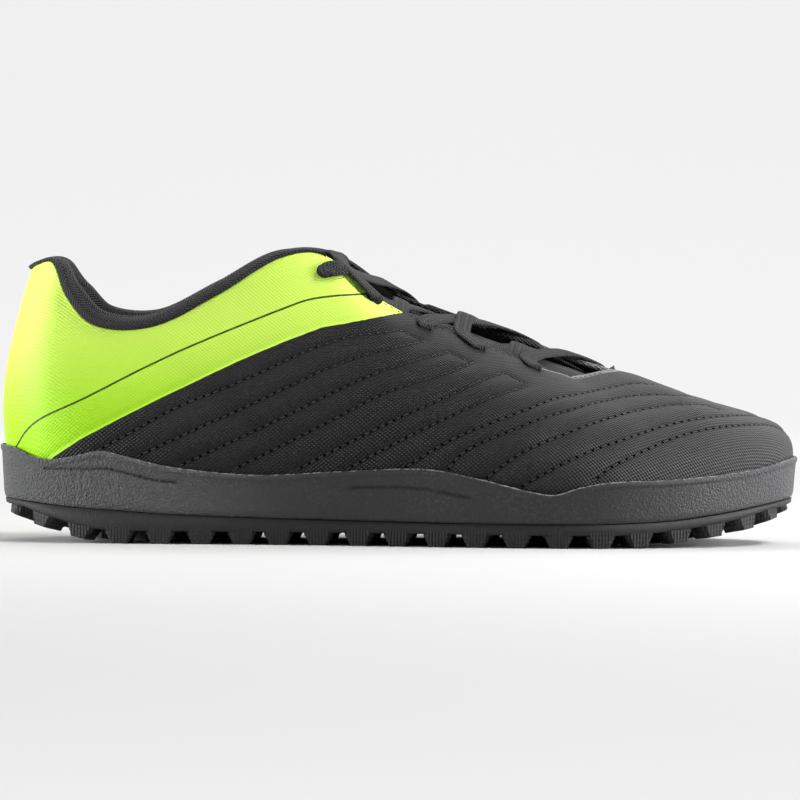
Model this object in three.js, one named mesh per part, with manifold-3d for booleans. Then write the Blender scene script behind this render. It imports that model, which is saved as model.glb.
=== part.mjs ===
// A low-cut turf shoe for the right foot, in millimetres.
// X runs from the heel to the toe, Y from the lateral side (-) to the medial side (+), and Z up from the
// ground that the lugs stand on. The last is a family of ribs: each rib climbs from the sole to the topline,
// to the throat or to the crest of the toe box. The sole, lining and tongue are offsets of that skin.
import * as THREE from 'three';
import { mergeVertices } from 'three/addons/utils/BufferGeometryUtils.js';
import Module from 'manifold-3d';

const wasm = await Module();
wasm.setup();

// Driving sizes of the last and the sole
const length = 284;
const ballWidth = 103;
const collarHeight = 98;
const lipHeight = 34;
const partingHeight = 17;
const toeSpring = 14;

// Upper
const upperWall = 2;
const panelStep = 0.8;
const panelLap = 1;
const upperInset = 3.4;
const lastingMargin = 8;
const featherRadius = 5;
const eyeletDiameter = 4.6;
const eyeletFromEdge = 7.5;
const eyeletSides = 8;

// Sole
const bedThickness = 6.5;
const lugHeight = 4.5;
const rimLugPitch = 14;
const rimLugLength = 6.8;
const rimLugFlare = 2.4;
const rimLugDepth = 10;
const innerLugPitch = 15;
const innerLugWidth = 8;
const innerLugDepth = 6;
const lugDraft = 0.9;
const lugRoot = 1.2;
const plateLeast = 2;
const plateTaper = 0.6;
const lipWidth = 1.5;
const lipDrop = 1.8;
const lipRound = 0.4;
const lipUndercut = 0.5;
const sideInset = 0.7;
const treadInset = 2.6;

// Insole, tongue, collar, lace and fits
const insoleThickness = 4;
const tongueThickness = 3.5;
const tongueTuck = 11;
const tongueNose = 13;
const tongueSlack = 1.4;
const collarBand = 4.6;
const collarDepth = 23;
const collarPad = 5;
const collarFit = 0.6;
const collarFront = 8.1;
const laceWidth = 6.5;
const laceThickness = 1.4;
const tongueEdge = 0.35;
const laceFit = 0.5;
const laceRise = 1.2;
const laceSink = 0.85;
const clearance = 0.3;

/** Turns rows of numbers into objects with named columns. */
function table(columns, rows) {
  return rows.map((row) => Object.fromEntries(columns.map((name, i) => [name, row[i]])));
}

// A row for each rib pair, heel to toe. at: share of the length; lateral, medial: half widths of the sole
// as shares of the ball width.
const outlineRows = table(['at', 'lateral', 'medial'], [
  [0.000, 0.000, 0.000],
  [0.012, 0.130, 0.130],
  [0.045, 0.230, 0.225],
  [0.080, 0.283, 0.270],
  [0.130, 0.325, 0.303],
  [0.210, 0.352, 0.312],
  [0.310, 0.355, 0.285],
  [0.410, 0.375, 0.285],
  [0.500, 0.418, 0.335],
  [0.590, 0.468, 0.420],
  [0.670, 0.497, 0.480],
  [0.750, 0.490, 0.495],
  [0.830, 0.430, 0.465],
  [0.900, 0.340, 0.400],
  [0.950, 0.235, 0.330],
  [0.985, 0.100, 0.225],
  [1.000, -0.060, 0.060],
]);

// The upper's top edge at each rib: shares of the length, of the ball width and of the collar height.
// Rows 0 to 8 are the topline, 8 to 12 the throat, 13 the throat's front, and 13 to 16 the toe box crest.
const edgeColumns = ['x', 'y', 'z'];
const lateralEdge = table(edgeColumns, [
  [0.035, 0.000, 0.975],
  [0.046, -0.083, 0.992],
  [0.067, -0.155, 0.998],
  [0.085, -0.204, 0.880],
  [0.119, -0.243, 0.778],
  [0.190, -0.272, 0.768],
  [0.275, -0.272, 0.888],
  [0.352, -0.248, 1.022],
  [0.401, -0.210, 1.038],
  [0.479, -0.165, 0.876],
  [0.560, -0.140, 0.766],
  [0.648, -0.128, 0.667],
  [0.708, -0.112, 0.602],
  [0.764, 0.045, 0.630],
  [0.831, 0.053, 0.562],
  [0.880, 0.058, 0.513],
  [0.901, 0.058, 0.496],
]);
const medialEdge = table(edgeColumns, [
  [0.035, 0.000, 0.975],
  [0.046, 0.083, 0.998],
  [0.067, 0.155, 1.002],
  [0.088, 0.200, 0.892],
  [0.121, 0.233, 0.796],
  [0.194, 0.248, 0.786],
  [0.278, 0.243, 0.903],
  [0.359, 0.233, 1.026],
  [0.415, 0.222, 1.045],
  [0.503, 0.200, 0.900],
  [0.588, 0.190, 0.806],
  [0.676, 0.183, 0.718],
  [0.771, 0.150, 0.622],
  [0.764, 0.045, 0.630],
  [0.831, 0.053, 0.562],
  [0.880, 0.058, 0.513],
  [0.901, 0.058, 0.496],
]);

// How each rib is bent, as shares of its chord: bulge and rise at the foot, reach at the edge.
// lean: degrees between the rib's last stretch and the ground. crown: height of the instep between the
// throat's edges, as a share of the half width there.
const bendRows = table(['bulge', 'rise', 'lean', 'reach', 'crown'], [
  [0.095, 0.39, 76, 0.34, 0.00],
  [0.095, 0.39, 76, 0.34, 0.00],
  [0.090, 0.39, 78, 0.34, 0.00],
  [0.090, 0.38, 80, 0.33, 0.00],
  [0.085, 0.38, 82, 0.33, 0.00],
  [0.080, 0.38, 80, 0.33, 0.00],
  [0.065, 0.38, 75, 0.33, 0.00],
  [0.055, 0.38, 66, 0.34, 0.00],
  [0.055, 0.40, 55, 0.34, 0.02],
  [0.060, 0.42, 42, 0.34, 0.12],
  [0.070, 0.42, 34, 0.36, 0.18],
  [0.080, 0.42, 27, 0.38, 0.22],
  [0.085, 0.42, 20, 0.40, 0.24],
  [0.090, 0.44, 16, 0.42, 0.00],
  [0.095, 0.47, 16, 0.48, 0.00],
  [0.100, 0.49, 16, 0.56, 0.00],
  [0.105, 0.50, 15, 0.62, 0.00],
]);

// Heights along the sole's edge: at is a share of the length, lip of the lip height, parting of the
// parting height, ground of the toe spring, and bed of the bed's thickness.
const soleRows = table(['at', 'lip', 'parting', 'ground', 'bed'], [
  [0.000, 1.000, 0.900, 0.790, 0.78],
  [0.020, 0.975, 0.870, 0.660, 0.82],
  [0.045, 0.885, 0.825, 0.470, 0.88],
  [0.070, 0.862, 0.782, 0.310, 0.94],
  [0.100, 0.905, 0.742, 0.150, 1.00],
  [0.130, 0.955, 0.710, 0.030, 1.00],
  [0.155, 0.915, 0.688, 0.000, 1.00],
  [0.220, 0.795, 0.620, 0.000, 1.00],
  [0.320, 0.722, 0.565, 0.000, 0.95],
  [0.420, 0.762, 0.530, 0.000, 0.85],
  [0.530, 0.800, 0.506, 0.000, 0.75],
  [0.600, 0.700, 0.500, 0.000, 0.68],
  [0.660, 0.582, 0.500, 0.000, 0.63],
  [0.690, 0.552, 0.500, 0.000, 0.61],
  [0.720, 0.626, 0.500, 0.000, 0.59],
  [0.760, 0.682, 0.512, 0.000, 0.57],
  [0.830, 0.706, 0.565, 0.105, 0.55],
  [0.900, 0.756, 0.712, 0.315, 0.52],
  [0.950, 0.820, 0.853, 0.560, 0.50],
  [1.000, 0.918, 1.000, 1.000, 0.46],
]);

// Outline of the quilted panel from the side: shares of the length and of the collar height
const panelRows = table(['x', 'z'], [
  [0.040, 0.140],
  [0.050, 0.240],
  [0.073, 0.307],
  [0.107, 0.372],
  [0.157, 0.449],
  [0.206, 0.521],
  [0.255, 0.590],
  [0.304, 0.658],
  [0.353, 0.719],
  [0.402, 0.774],
  [0.451, 0.800],
  [0.500, 0.826],
  [0.535, 0.860],
  [0.560, 1.200],
]);

// The padded collar's band over the topline and its padding, as shares, from the heel's middle forwards
const collarRows = table(['band', 'pad'], [
  [0.60, 1.25],
  [0.50, 1.25],
  [0.62, 1.20],
  [1.30, 1.10],
  [1.35, 1.00],
  [1.10, 0.95],
  [1.02, 0.90],
  [0.80, 0.85],
  [0.26, 0.60],
  [0.10, 0.00],
]);

// Section of the collar, round from its outer foot. level: rise over the topline in bands, or depth below it
// in collar depths where it is negative. face, pad, inwards: how far inside the skin, as shares of the
// lining's face and of the padding, and in millimetres.
const collarSection = table(['level', 'face', 'pad', 'inwards'], [
  [0.00, 0, 0.00, 0.0],
  [0.40, 0, 0.00, -0.9],
  [1.00, 0, 0.00, 1.4],
  [0.90, 0, 0.70, 0.0],
  [0.00, 0, 1.00, 0.0],
  [-0.45, 0, 0.95, 0.0],
  [-1.00, 1, 0.00, 0.8],
  [-0.60, 1, 0.00, 0.0],
  [-0.25, 1, 0.00, 0.0],
  [-0.06, 1, 0.00, 0.0],
  [0.00, 1, 0.00, 0.0],
  [0.00, 0, 0.00, 1.0],
]);

// The insole's edge, from its underside up: inset from the upper's wall in millimetres, and rise as a share
// of its thickness
const insoleRows = table(['inset', 'rise'], [
  [3.7, 0.00],
  [1.2, 0.55],
  [0.9, 0.90],
  [1.6, 1.00],
]);

// The tongue's rows along the throat: rib from the heel, half width as a share of the throat's, where 2 is
// tucked under both eyestays, and how far the free end hangs, in tongue thicknesses
const tongueRows = table(['rib', 'reach', 'drop'], [
  [7.35, 0.56, 1.1],
  [7.70, 0.64, 0.7],
  [8.10, 0.72, 0.4],
  [8.50, 0.95, 0.2],
  [8.90, 1.60, 0.0],
  [9.30, 2.00, 0.0],
  [9.80, 2.00, 0.0],
  [10.40, 2.00, 0.0],
  [11.00, 2.00, 0.0],
  [11.50, 2.00, 0.0],
  [12.00, 2.00, 0.0],
  [13.30, 2.00, 0.0],
]);

// Lace straps from the topmost pair of eyelets: eyelet rows that they join, whether they cross over the
// eyestays or run under them, and how soon the first one runs forwards, where 1 is evenly
const laceRows = table(['name', 'from', 'to', 'over', 'lead'], [
  ['lace_cross_1', 0, 1, true, 0.45],
  ['lace_cross_2', 1, 2, false, 1],
  ['lace_cross_3', 2, 3, true, 1],
  ['lace_cross_4', 3, 4, false, 1],
  ['lace_bar', 4, 4, true, 1],
]);

// Where the eyelets stand on each side, counted in ribs from the heel
const eyeletRows = table(['lateral', 'medial'], [
  [7.85, 8.00],
  [8.64, 8.92],
  [9.42, 9.93],
  [10.22, 10.75],
  [11.00, 11.62],
]);

const lastRib = outlineRows.length - 1;
const wholeTurn = 2 * lastRib;
const throatFront = 13;

/** Smooth curve through rows of x and y, read at a share of the rows. */
function curveThrough(points, closed) {
  return new THREE.CatmullRomCurve3(points, closed, 'centripetal');
}

const outlineCurve = curveThrough([
  ...outlineRows.map((row) => new THREE.Vector3(row.at * length, -row.lateral * ballWidth, 0)),
  ...outlineRows.slice(1, lastRib).reverse()
    .map((row) => new THREE.Vector3(row.at * length, row.medial * ballWidth, 0)),
], true);

const edgeCurves = [lateralEdge, medialEdge].map((rows) => rows
  .map((row) => new THREE.Vector3(row.x * length, row.y * ballWidth, row.z * collarHeight)));
const topline = edgeCurves.map((points) => curveThrough(points.slice(0, throatFront), false));
const frontEdge = edgeCurves
  .map((points) => curveThrough(points.slice(throatFront - 1, throatFront + 1), false));
const crest = curveThrough(edgeCurves[0].slice(throatFront), false);

/** Value of one column at a share of the length, as a smooth curve through the rows. */
function alongSole(column, at) {
  const rows = soleRows;
  const share = THREE.MathUtils.clamp(at, 0, 1);
  let i = rows.findIndex((row) => row.at >= share) - 1;
  i = THREE.MathUtils.clamp(i, 0, rows.length - 2);
  const slope = (k) => {
    const before = rows[Math.max(k - 1, 0)];
    const after = rows[Math.min(k + 1, rows.length - 1)];
    return (after[column] - before[column]) / (after.at - before.at);
  };
  const [a, b] = [rows[i], rows[i + 1]];
  const span = b.at - a.at;
  const s = (share - a.at) / span;
  return a[column] * (1 + 2 * s) * (1 - s) ** 2 + b[column] * s * s * (3 - 2 * s)
    + slope(i) * span * s * (1 - s) ** 2 - slope(i + 1) * span * s * s * (1 - s);
}

const lipAt = (x) => lipHeight * alongSole('lip', x / length);
const partingAt = (x) => partingHeight * alongSole('parting', x / length);
const groundAt = (x) => Math.max(0, toeSpring * alongSole('ground', x / length));
const bedAt = (x) => partingAt(x) + bedThickness * alongSole('bed', x / length);

/** Side of the shoe and rib count from the heel, of a place w on the way round the shoe. */
function ribOf(w) {
  const turn = ((w % wholeTurn) + wholeTurn) % wholeTurn;
  return turn <= lastRib ? { side: 0, u: turn } : { side: 1, u: wholeTurn - turn };
}

/** Point of the sole's outline at w, moved inwards by an inset. */
function outlinePoint(w, inset) {
  const share = (((w % wholeTurn) + wholeTurn) % wholeTurn) / wholeTurn;
  const tangent = outlineCurve.getTangent(share, new THREE.Vector3());
  const point = outlineCurve.getPoint(share);
  return point.add(new THREE.Vector3(-tangent.y, tangent.x, 0).multiplyScalar(inset));
}

/** Unit vector that points away from the shoe at w, level with the ground. */
function outward(w) {
  return outlinePoint(w, -1).sub(outlinePoint(w, 0)).normalize();
}

/** Number read between the rows of the bends at rib u. */
function bend(column, u) {
  const i = Math.min(Math.floor(u), lastRib - 1);
  return THREE.MathUtils.lerp(bendRows[i][column], bendRows[i + 1][column], u - i);
}

/** End of the rib at w: on the topline, the throat or the toe box crest. */
function edgePoint(w) {
  const { side, u } = ribOf(w);
  if (u >= throatFront) {
    return crest.getPoint((u - throatFront) / (lastRib - throatFront));
  }
  if (u > throatFront - 1) {
    return frontEdge[side].getPoint(u - throatFront + 1);
  }
  return topline[side].getPoint(u / (throatFront - 1));
}

/** Point on the last's skin: v is -2 to -1 on the lasting margin, to 0 on the feather, to 1 on the rib. */
function skin(w, v) {
  const { u } = ribOf(w);
  const away = outward(w);
  const foot = outlinePoint(w, upperInset);
  const base = bedAt(outlinePoint(w, upperInset + featherRadius).x) + panelStep + clearance;
  if (v < -1) {
    const inner = outlinePoint(w, upperInset + featherRadius + (-1 - v) * lastingMargin);
    return inner.setZ(bedAt(inner.x) + panelStep + clearance);
  }
  if (v < 0) {
    const angle = -v * Math.PI / 2;
    foot.addScaledVector(away, -featherRadius * (1 - Math.cos(angle)));
    return foot.setZ(base + featherRadius * (1 - Math.sin(angle)));
  }
  foot.setZ(base + featherRadius);
  const edge = edgePoint(w);
  const chord = edge.distanceTo(foot);
  const lean = THREE.MathUtils.degToRad(bend('lean', u));
  const inwards = edge.clone().sub(foot).setZ(0).normalize();
  const arrival = inwards.multiplyScalar(Math.cos(lean)).setZ(Math.sin(lean));
  const first = foot.clone().addScaledVector(away, bend('bulge', u) * chord);
  first.z += bend('rise', u) * chord;
  const last = edge.clone().addScaledVector(arrival, -bend('reach', u) * chord);
  return new THREE.CubicBezierCurve3(foot, first, last, edge).getPoint(v);
}

/** Outward unit normal of the skin. */
function skinNormal(w, v) {
  const step = 0.02;
  const { u } = ribOf(w);
  if (u > throatFront - step && v > 1 - step) {
    const low = 1 - 2 * step;
    return slopeNormal(u, low).add(slopeNormal(wholeTurn - u, low)).normalize();
  }
  return slopeNormal(w, v);
}

/** Normal from the slopes of the skin along both of its parameters. */
function slopeNormal(w, v) {
  const step = 0.02;
  const vLow = Math.max(v - step, -2);
  const vHigh = Math.min(v + step, 1);
  const along = skin(w + step, v).sub(skin(w - step, v));
  const up = skin(w, vHigh).sub(skin(w, vLow));
  return along.cross(up).normalize();
}

/** Point at a distance outside the skin, or inside it where the distance is negative. */
function offSkin(w, v, distance) {
  return skin(w, v).addScaledVector(skinNormal(w, v), distance);
}

/** The v at which the rib at w reaches a height. */
function ribAtHeight(w, z) {
  let [low, high] = [0, 1];
  for (let i = 0; i < 30; i += 1) {
    const middle = (low + high) / 2;
    if (skin(w, middle).z < z) {
      low = middle;
    } else {
      high = middle;
    }
  }
  return low;
}

/** The v at which the rib at w has a given length left before its edge. */
function ribBelowEdge(w, distance) {
  const steps = 60;
  let before = skin(w, 1);
  let left = distance;
  for (let i = steps - 1; i > 0; i -= 1) {
    const point = skin(w, i / steps);
    const stretch = point.distanceTo(before);
    if (stretch >= left) {
      return (i + 1 - left / stretch) / steps;
    }
    left -= stretch;
    before = point;
  }
  return 0;
}

/** Geometry from points and triangles, with the faces turned outwards. */
function closedGeometry(points, triangles) {
  const geometry = new THREE.BufferGeometry();
  const values = points.flatMap((point) => point.toArray());
  geometry.setAttribute('position', new THREE.Float32BufferAttribute(values, 3));
  let volume = 0;
  for (const [a, b, c] of triangles) {
    volume += points[a].dot(points[b].clone().cross(points[c]));
  }
  const faces = volume < 0 ? triangles.map(([a, b, c]) => [a, c, b]) : triangles;
  geometry.setIndex(faces.flat());
  const merged = mergeVertices(geometry, 1e-4);
  const kept = [];
  for (let i = 0; i < merged.index.count; i += 3) {
    const face = [0, 1, 2].map((k) => merged.index.getX(i + k));
    if (new Set(face).size === 3) {
      kept.push(...face);
    }
  }
  merged.setIndex(kept);
  return merged;
}

/** Manifold solid of a closed geometry. */
function toManifold(geometry) {
  const mesh = new wasm.Mesh({
    numProp: 3,
    vertProperties: new Float32Array(geometry.attributes.position.array),
    triVerts: new Uint32Array(geometry.index.array),
  });
  return new wasm.Manifold(mesh);
}

/** Geometry of a manifold solid. */
function toGeometry(manifold) {
  const mesh = manifold.getMesh();
  const geometry = new THREE.BufferGeometry();
  geometry.setAttribute('position', new THREE.Float32BufferAttribute(mesh.vertProperties, 3));
  geometry.setIndex(new THREE.Uint32BufferAttribute(mesh.triVerts, 1));
  return geometry;
}

/** Triangles across a loop, rung by rung, between points that mirror each other in the loop. */
function ladder(start, count) {
  const triangles = [];
  const half = count / 2;
  for (let i = 0; i < half; i += 1) {
    const left = [start + i, start + i + 1];
    const right = [start + (count - i) % count, start + (count - i - 1) % count];
    triangles.push([left[0], left[1], right[1]], [left[0], right[1], right[0]]);
  }
  return triangles.filter((face) => new Set(face).size === 3);
}

/** Solid through a row of closed loops, with both ends capped rung by rung. */
function loft(loops) {
  const count = loops[0].length;
  const triangles = [];
  for (let ring = 0; ring + 1 < loops.length; ring += 1) {
    for (let i = 0; i < count; i += 1) {
      const a = ring * count + i;
      const b = ring * count + (i + 1) % count;
      triangles.push([a, b, b + count], [a, b + count, a + count]);
    }
  }
  triangles.push(...ladder(0, count).map(([a, b, c]) => [a, c, b]));
  triangles.push(...ladder((loops.length - 1) * count, count));
  return closedGeometry(loops.flat(), triangles);
}

/** Places round the shoe: denser at heel and toe, where the outline turns. */
function placesRound() {
  const half = [];
  const turning = 3;
  const straight = 2;
  const heelRibs = 4;
  const instepRib = 9;
  for (let rib = 0; rib < lastRib; rib += 1) {
    const parts = rib < heelRibs || (rib >= instepRib && rib !== throatFront - 1) ? turning : straight;
    for (let part = 0; part < parts; part += 1) {
      half.push(rib + part / parts);
    }
  }
  return [...half, ...[lastRib, ...half.slice(1).reverse()].map((u) => wholeTurn - u)];
}

const places = placesRound();

/** The upper's shell between two offsets of the skin, open at the top edge and underneath. */
function shell(outer, inner) {
  const rows = [-2, -1, 0, 0.15, 0.32, 0.5, 0.67, 0.84, 1];
  const liningRows = [1, 0.84, 0.6, 0.32, 0, -1, -2];
  const loops = [
    ...rows.map((v) => places.map((w) => offSkin(w, v, outer))),
    ...liningRows.map((v) => places.map((w) => offSkin(w, v, inner))),
  ];
  const count = places.length;
  const triangles = [];
  for (let ring = 0; ring < loops.length; ring += 1) {
    const next = (ring + 1) % loops.length;
    for (let i = 0; i < count; i += 1) {
      const j = (i + 1) % count;
      const middle = ribOf((places[i] + (j === 0 ? wholeTurn : places[j])) / 2).u;
      if (ring === rows.length - 1 && middle > throatFront) {
        continue;
      }
      const [a, b] = [ring * count + i, ring * count + j];
      const [c, d] = [next * count + j, next * count + i];
      triangles.push([a, b, c], [a, c, d]);
    }
  }
  return closedGeometry(loops.flat(), triangles);
}

/** Centre line frame of the eyelet on one side of a row: its place on the skin and the way out. */
function eyelet(row, side) {
  const u = side === 0 ? row.lateral : row.medial;
  const w = side === 0 ? u : wholeTurn - u;
  const v = ribBelowEdge(w, eyeletFromEdge);
  return { point: skin(w, v), normal: skinNormal(w, v), w, v };
}

/** One hollow upper: the lasted shell, thicker under the quilted panel, with punched eyelets. */
function makeUpper() {
  const outline = panelRows.map((row) => new THREE.Vector2(row.x * length, row.z * collarHeight));
  const beyondToe = 1.1 * length;
  const shape = new THREE.Shape([
    ...outline,
    new THREE.Vector2(beyondToe, outline[outline.length - 1].y),
    new THREE.Vector2(beyondToe, 0),
    new THREE.Vector2(outline[0].x, 0),
  ]);
  const prism = new THREE.ExtrudeGeometry(shape, { depth: 2 * ballWidth, bevelEnabled: false });
  prism.rotateX(Math.PI / 2).translate(0, ballWidth, 0);
  prism.deleteAttribute('normal');
  prism.deleteAttribute('uv');
  const front = toManifold(mergeVertices(prism));
  const panel = toManifold(shell(panelStep, -upperWall)).intersect(front);
  const heel = toManifold(shell(0, -upperWall)).subtract(front.translate(panelLap, 0, 0));
  let upper = heel.add(panel);
  const radius = eyeletDiameter / 2;
  for (const row of eyeletRows) {
    for (const side of [0, 1]) {
      const { point, normal } = eyelet(row, side);
      const punch = new THREE.CylinderGeometry(radius, radius, 5 * upperWall, eyeletSides);
      punch.applyQuaternion(new THREE.Quaternion().setFromUnitVectors(new THREE.Vector3(0, 1, 0), normal));
      punch.translate(point.x, point.y, point.z);
      punch.deleteAttribute('normal');
      punch.deleteAttribute('uv');
      upper = upper.subtract(toManifold(mergeVertices(punch)));
    }
  }
  return toGeometry(upper);
}

/** Cup of the sole: wedge with a grained side, a lip that steps out, and a bed inside. */
function makeMidsole() {
  const fit = panelStep + clearance;
  const shoulder = 0.16;
  const side = (inset, height) => places.map((w) => {
    const point = outlinePoint(w, inset);
    return point.setZ(height(point.x));
  });
  return loft([
    side(treadInset, partingAt),
    side(sideInset, (x) => THREE.MathUtils.lerp(partingAt(x), lipAt(x), shoulder)),
    side(sideInset, (x) => lipAt(x) - lipDrop - lipUndercut),
    side(0, (x) => lipAt(x) - lipDrop),
    side(0, (x) => lipAt(x) - lipRound),
    side(lipWidth / 2, lipAt),
    places.map((w) => {
      const height = lipAt(outlinePoint(w, 0).x);
      return offSkin(w, ribAtHeight(w, height), fit).setZ(height - lipRound / 2);
    }),
    places.map((w) => {
      const { x } = outlinePoint(w, 0);
      return offSkin(w, ribAtHeight(w, (lipAt(x) + bedAt(x) + featherRadius) / 2), fit);
    }),
    places.map((w) => offSkin(w, 0, fit)),
    places.map((w) => offSkin(w, -1, fit)),
  ]);
}

/** One lug: a block that widens to its root inside the tread, with its foot on the ground line. */
function lugBlock(centre, along, across, lengthways, crossways, flare) {
  const corners = [[-1, -1], [1, -1], [1, 1], [-1, 1]];
  const loop = (wider, deeper, height) => corners.map(([a, c]) => {
    const point = centre.clone()
      .addScaledVector(along, a * (lengthways / 2 + wider))
      .addScaledVector(across, c * (crossways / 2 + deeper));
    return point.setZ(height(point.x));
  });
  const rootAt = (x) => Math.min(groundAt(x) + lugHeight + lugRoot, partingAt(x) - 2 * clearance);
  return toManifold(loft([loop(0, 0, groundAt), loop(flare, lugDraft, rootAt)]));
}

/** Tread: a thin plate with a rim of lugs along its edge and a field of lugs under heel and ball. */
function makeOutsole() {
  const plateBottom = (x) => Math.min(groundAt(x) + lugHeight, partingAt(x) - plateLeast);
  const plateTop = (x) => partingAt(x) - clearance;
  const ring = (inset, height) => places.map((w) => {
    const point = outlinePoint(w, inset);
    return point.setZ(height(point.x));
  });
  let tread = toManifold(loft([
    ring(treadInset + plateTaper, plateBottom),
    ring(treadInset, plateTop),
  ]));
  const rimInset = treadInset + lugDraft + rimLugDepth / 2 - plateTaper;
  const steps = 720;
  let walked = rimLugPitch / 2;
  let before = outlinePoint(0, rimInset);
  for (let i = 1; i <= steps; i += 1) {
    const w = wholeTurn * i / steps;
    const here = outlinePoint(w, rimInset);
    walked += here.distanceTo(before);
    before = here;
    if (walked >= rimLugPitch) {
      walked -= rimLugPitch;
      const across = outward(w);
      const along = new THREE.Vector3(-across.y, across.x, 0);
      tread = tread.add(lugBlock(here, along, across, rimLugLength, rimLugDepth, rimLugFlare));
    }
  }
  const rows = Math.floor(length / innerLugPitch);
  const reach = Math.ceil(ballWidth / 2 / innerLugPitch);
  const [archBack, archFront] = [0.33 * length, 0.52 * length];
  const loop = places.map((w) => outlinePoint(w, rimInset + rimLugDepth / 2 + lugDraft + innerLugDepth));
  for (let row = 0; row <= rows; row += 1) {
    const x = (row + 0.5) * innerLugPitch;
    const bare = x > archBack && x < archFront;
    for (let column = -reach; column <= reach && !bare; column += 1) {
      const y = (column + (row % 2) / 2) * innerLugPitch;
      if (insideLoop(loop, x, y)) {
        const turn = Math.PI / 4 * (row % 2 === 0 ? 1 : -1);
        const along = new THREE.Vector3(Math.cos(turn), Math.sin(turn), 0);
        const across = new THREE.Vector3(-along.y, along.x, 0);
        const centre = new THREE.Vector3(x, y, 0);
        tread = tread.add(lugBlock(centre, along, across, innerLugWidth, innerLugDepth, lugDraft));
      }
    }
  }
  return toGeometry(tread);
}

/** Whether a place on the plan lies inside a closed loop. */
function insideLoop(loop, x, y) {
  let inside = false;
  for (let i = 0; i < loop.length; i += 1) {
    const a = loop[i];
    const b = loop[(i + 1) % loop.length];
    if ((a.y > y) !== (b.y > y) && x < a.x + (y - a.y) / (b.y - a.y) * (b.x - a.x)) {
      inside = !inside;
    }
  }
  return inside;
}

/** Insole that lies on the lasting margin inside the upper. */
function makeInsole() {
  const bottom = (x) => bedAt(x) + panelStep + upperWall + 2 * clearance;
  const everySecond = places.filter((_, i) => i % 2 === 0);
  return loft(insoleRows.map((row) => everySecond.map((w) => {
    const point = outlinePoint(w, upperInset + upperWall + clearance + row.inset);
    return point.setZ(bottom(point.x) + row.rise * insoleThickness);
  })));
}

/** Point over the throat: c is -1 and 1 on its two edges, and beyond them runs down the eyestays. */
function throatPoint(u, c, distance) {
  const [lateral, medial] = [u, wholeTurn - u];
  const w = c < 0 ? lateral : medial;
  const beyond = u >= throatFront ? Math.abs(c) * tongueNose / 2 : (Math.abs(c) - 1) * tongueTuck;
  if (u >= throatFront || Math.abs(c) > 1) {
    return offSkin(w, ribBelowEdge(w, beyond), distance);
  }
  const left = offSkin(lateral, 1, distance);
  const right = offSkin(medial, 1, distance);
  const crown = left.distanceTo(right) / 2 * bend('crown', u);
  const point = left.lerp(right, (c + 1) / 2);
  point.z += crown * (1 - c * c);
  return point;
}

/** Solid between a grid of points and the same grid moved by a thickness along its normals. */
function slab(grid, thickness) {
  const rows = grid.length;
  const columns = grid[0].length;
  const within = (i, count) => THREE.MathUtils.clamp(i, 0, count - 1);
  const at = (r, c) => grid[within(r, rows)][within(c, columns)];
  const under = grid.map((row, r) => row.map((point, c) => {
    const along = at(r + 1, c).clone().sub(at(r - 1, c));
    const across = at(r, c + 1).clone().sub(at(r, c - 1));
    const share = c === 0 || c === columns - 1 ? tongueEdge : 1;
    return point.clone().addScaledVector(along.cross(across).normalize(), -thickness * share);
  }));
  return loft(grid.map((row, r) => [...row, ...[...under[r]].reverse()]));
}

/** Depth of the tongue's face under the skin: the eyestay's wall and a lace fit between. */
const tongueDepth = upperWall + laceThickness + 2 * clearance + tongueSlack;

/** Padded tongue under the eyestays, its nose tucked under the toe box. */
function makeTongue() {
  const across = 6;
  const grid = tongueRows.map((row) => Array.from({ length: across + 1 }, (_, i) => (
    throatPoint(row.rib, (2 * i / across - 1) * row.reach, -tongueDepth)
      .add(new THREE.Vector3(0, 0, -row.drop * tongueThickness)))));
  return slab(grid, tongueThickness);
}

/** Padded collar: a knitted roll over the topline that lines the ankle inside. */
function makeCollar() {
  const turns = [collarFront, ...places.filter((w) => w < collarFront).reverse()];
  const round = [...turns, ...turns.slice(0, -1).reverse().map((w) => wholeTurn - w)];
  const face = upperWall + collarFit;
  const near = 0.04;
  return loft(round.map((w) => {
    const { u } = ribOf(w);
    const i = Math.min(Math.floor(u), collarRows.length - 2);
    const share = (name) => THREE.MathUtils.lerp(collarRows[i][name], collarRows[i + 1][name], u - i);
    const band = collarBand * share('band');
    const pad = face + collarPad * share('pad');
    const edge = edgePoint(w);
    const run = edgePoint(w + near).sub(edgePoint(w - near)).normalize();
    const up = edge.clone().sub(skin(w, 1 - near));
    up.addScaledVector(run, -up.dot(run)).normalize();
    const out = skinNormal(w, 1);
    return collarSection.map((row) => {
      const inwards = face * row.face + pad * row.pad + row.inwards;
      if (row.level < 0) {
        return offSkin(w, ribBelowEdge(w, -row.level * collarDepth), -inwards);
      }
      return edge.clone().addScaledVector(up, Math.max(clearance, band * row.level))
        .addScaledVector(out, -inwards);
    });
  }));
}

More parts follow.
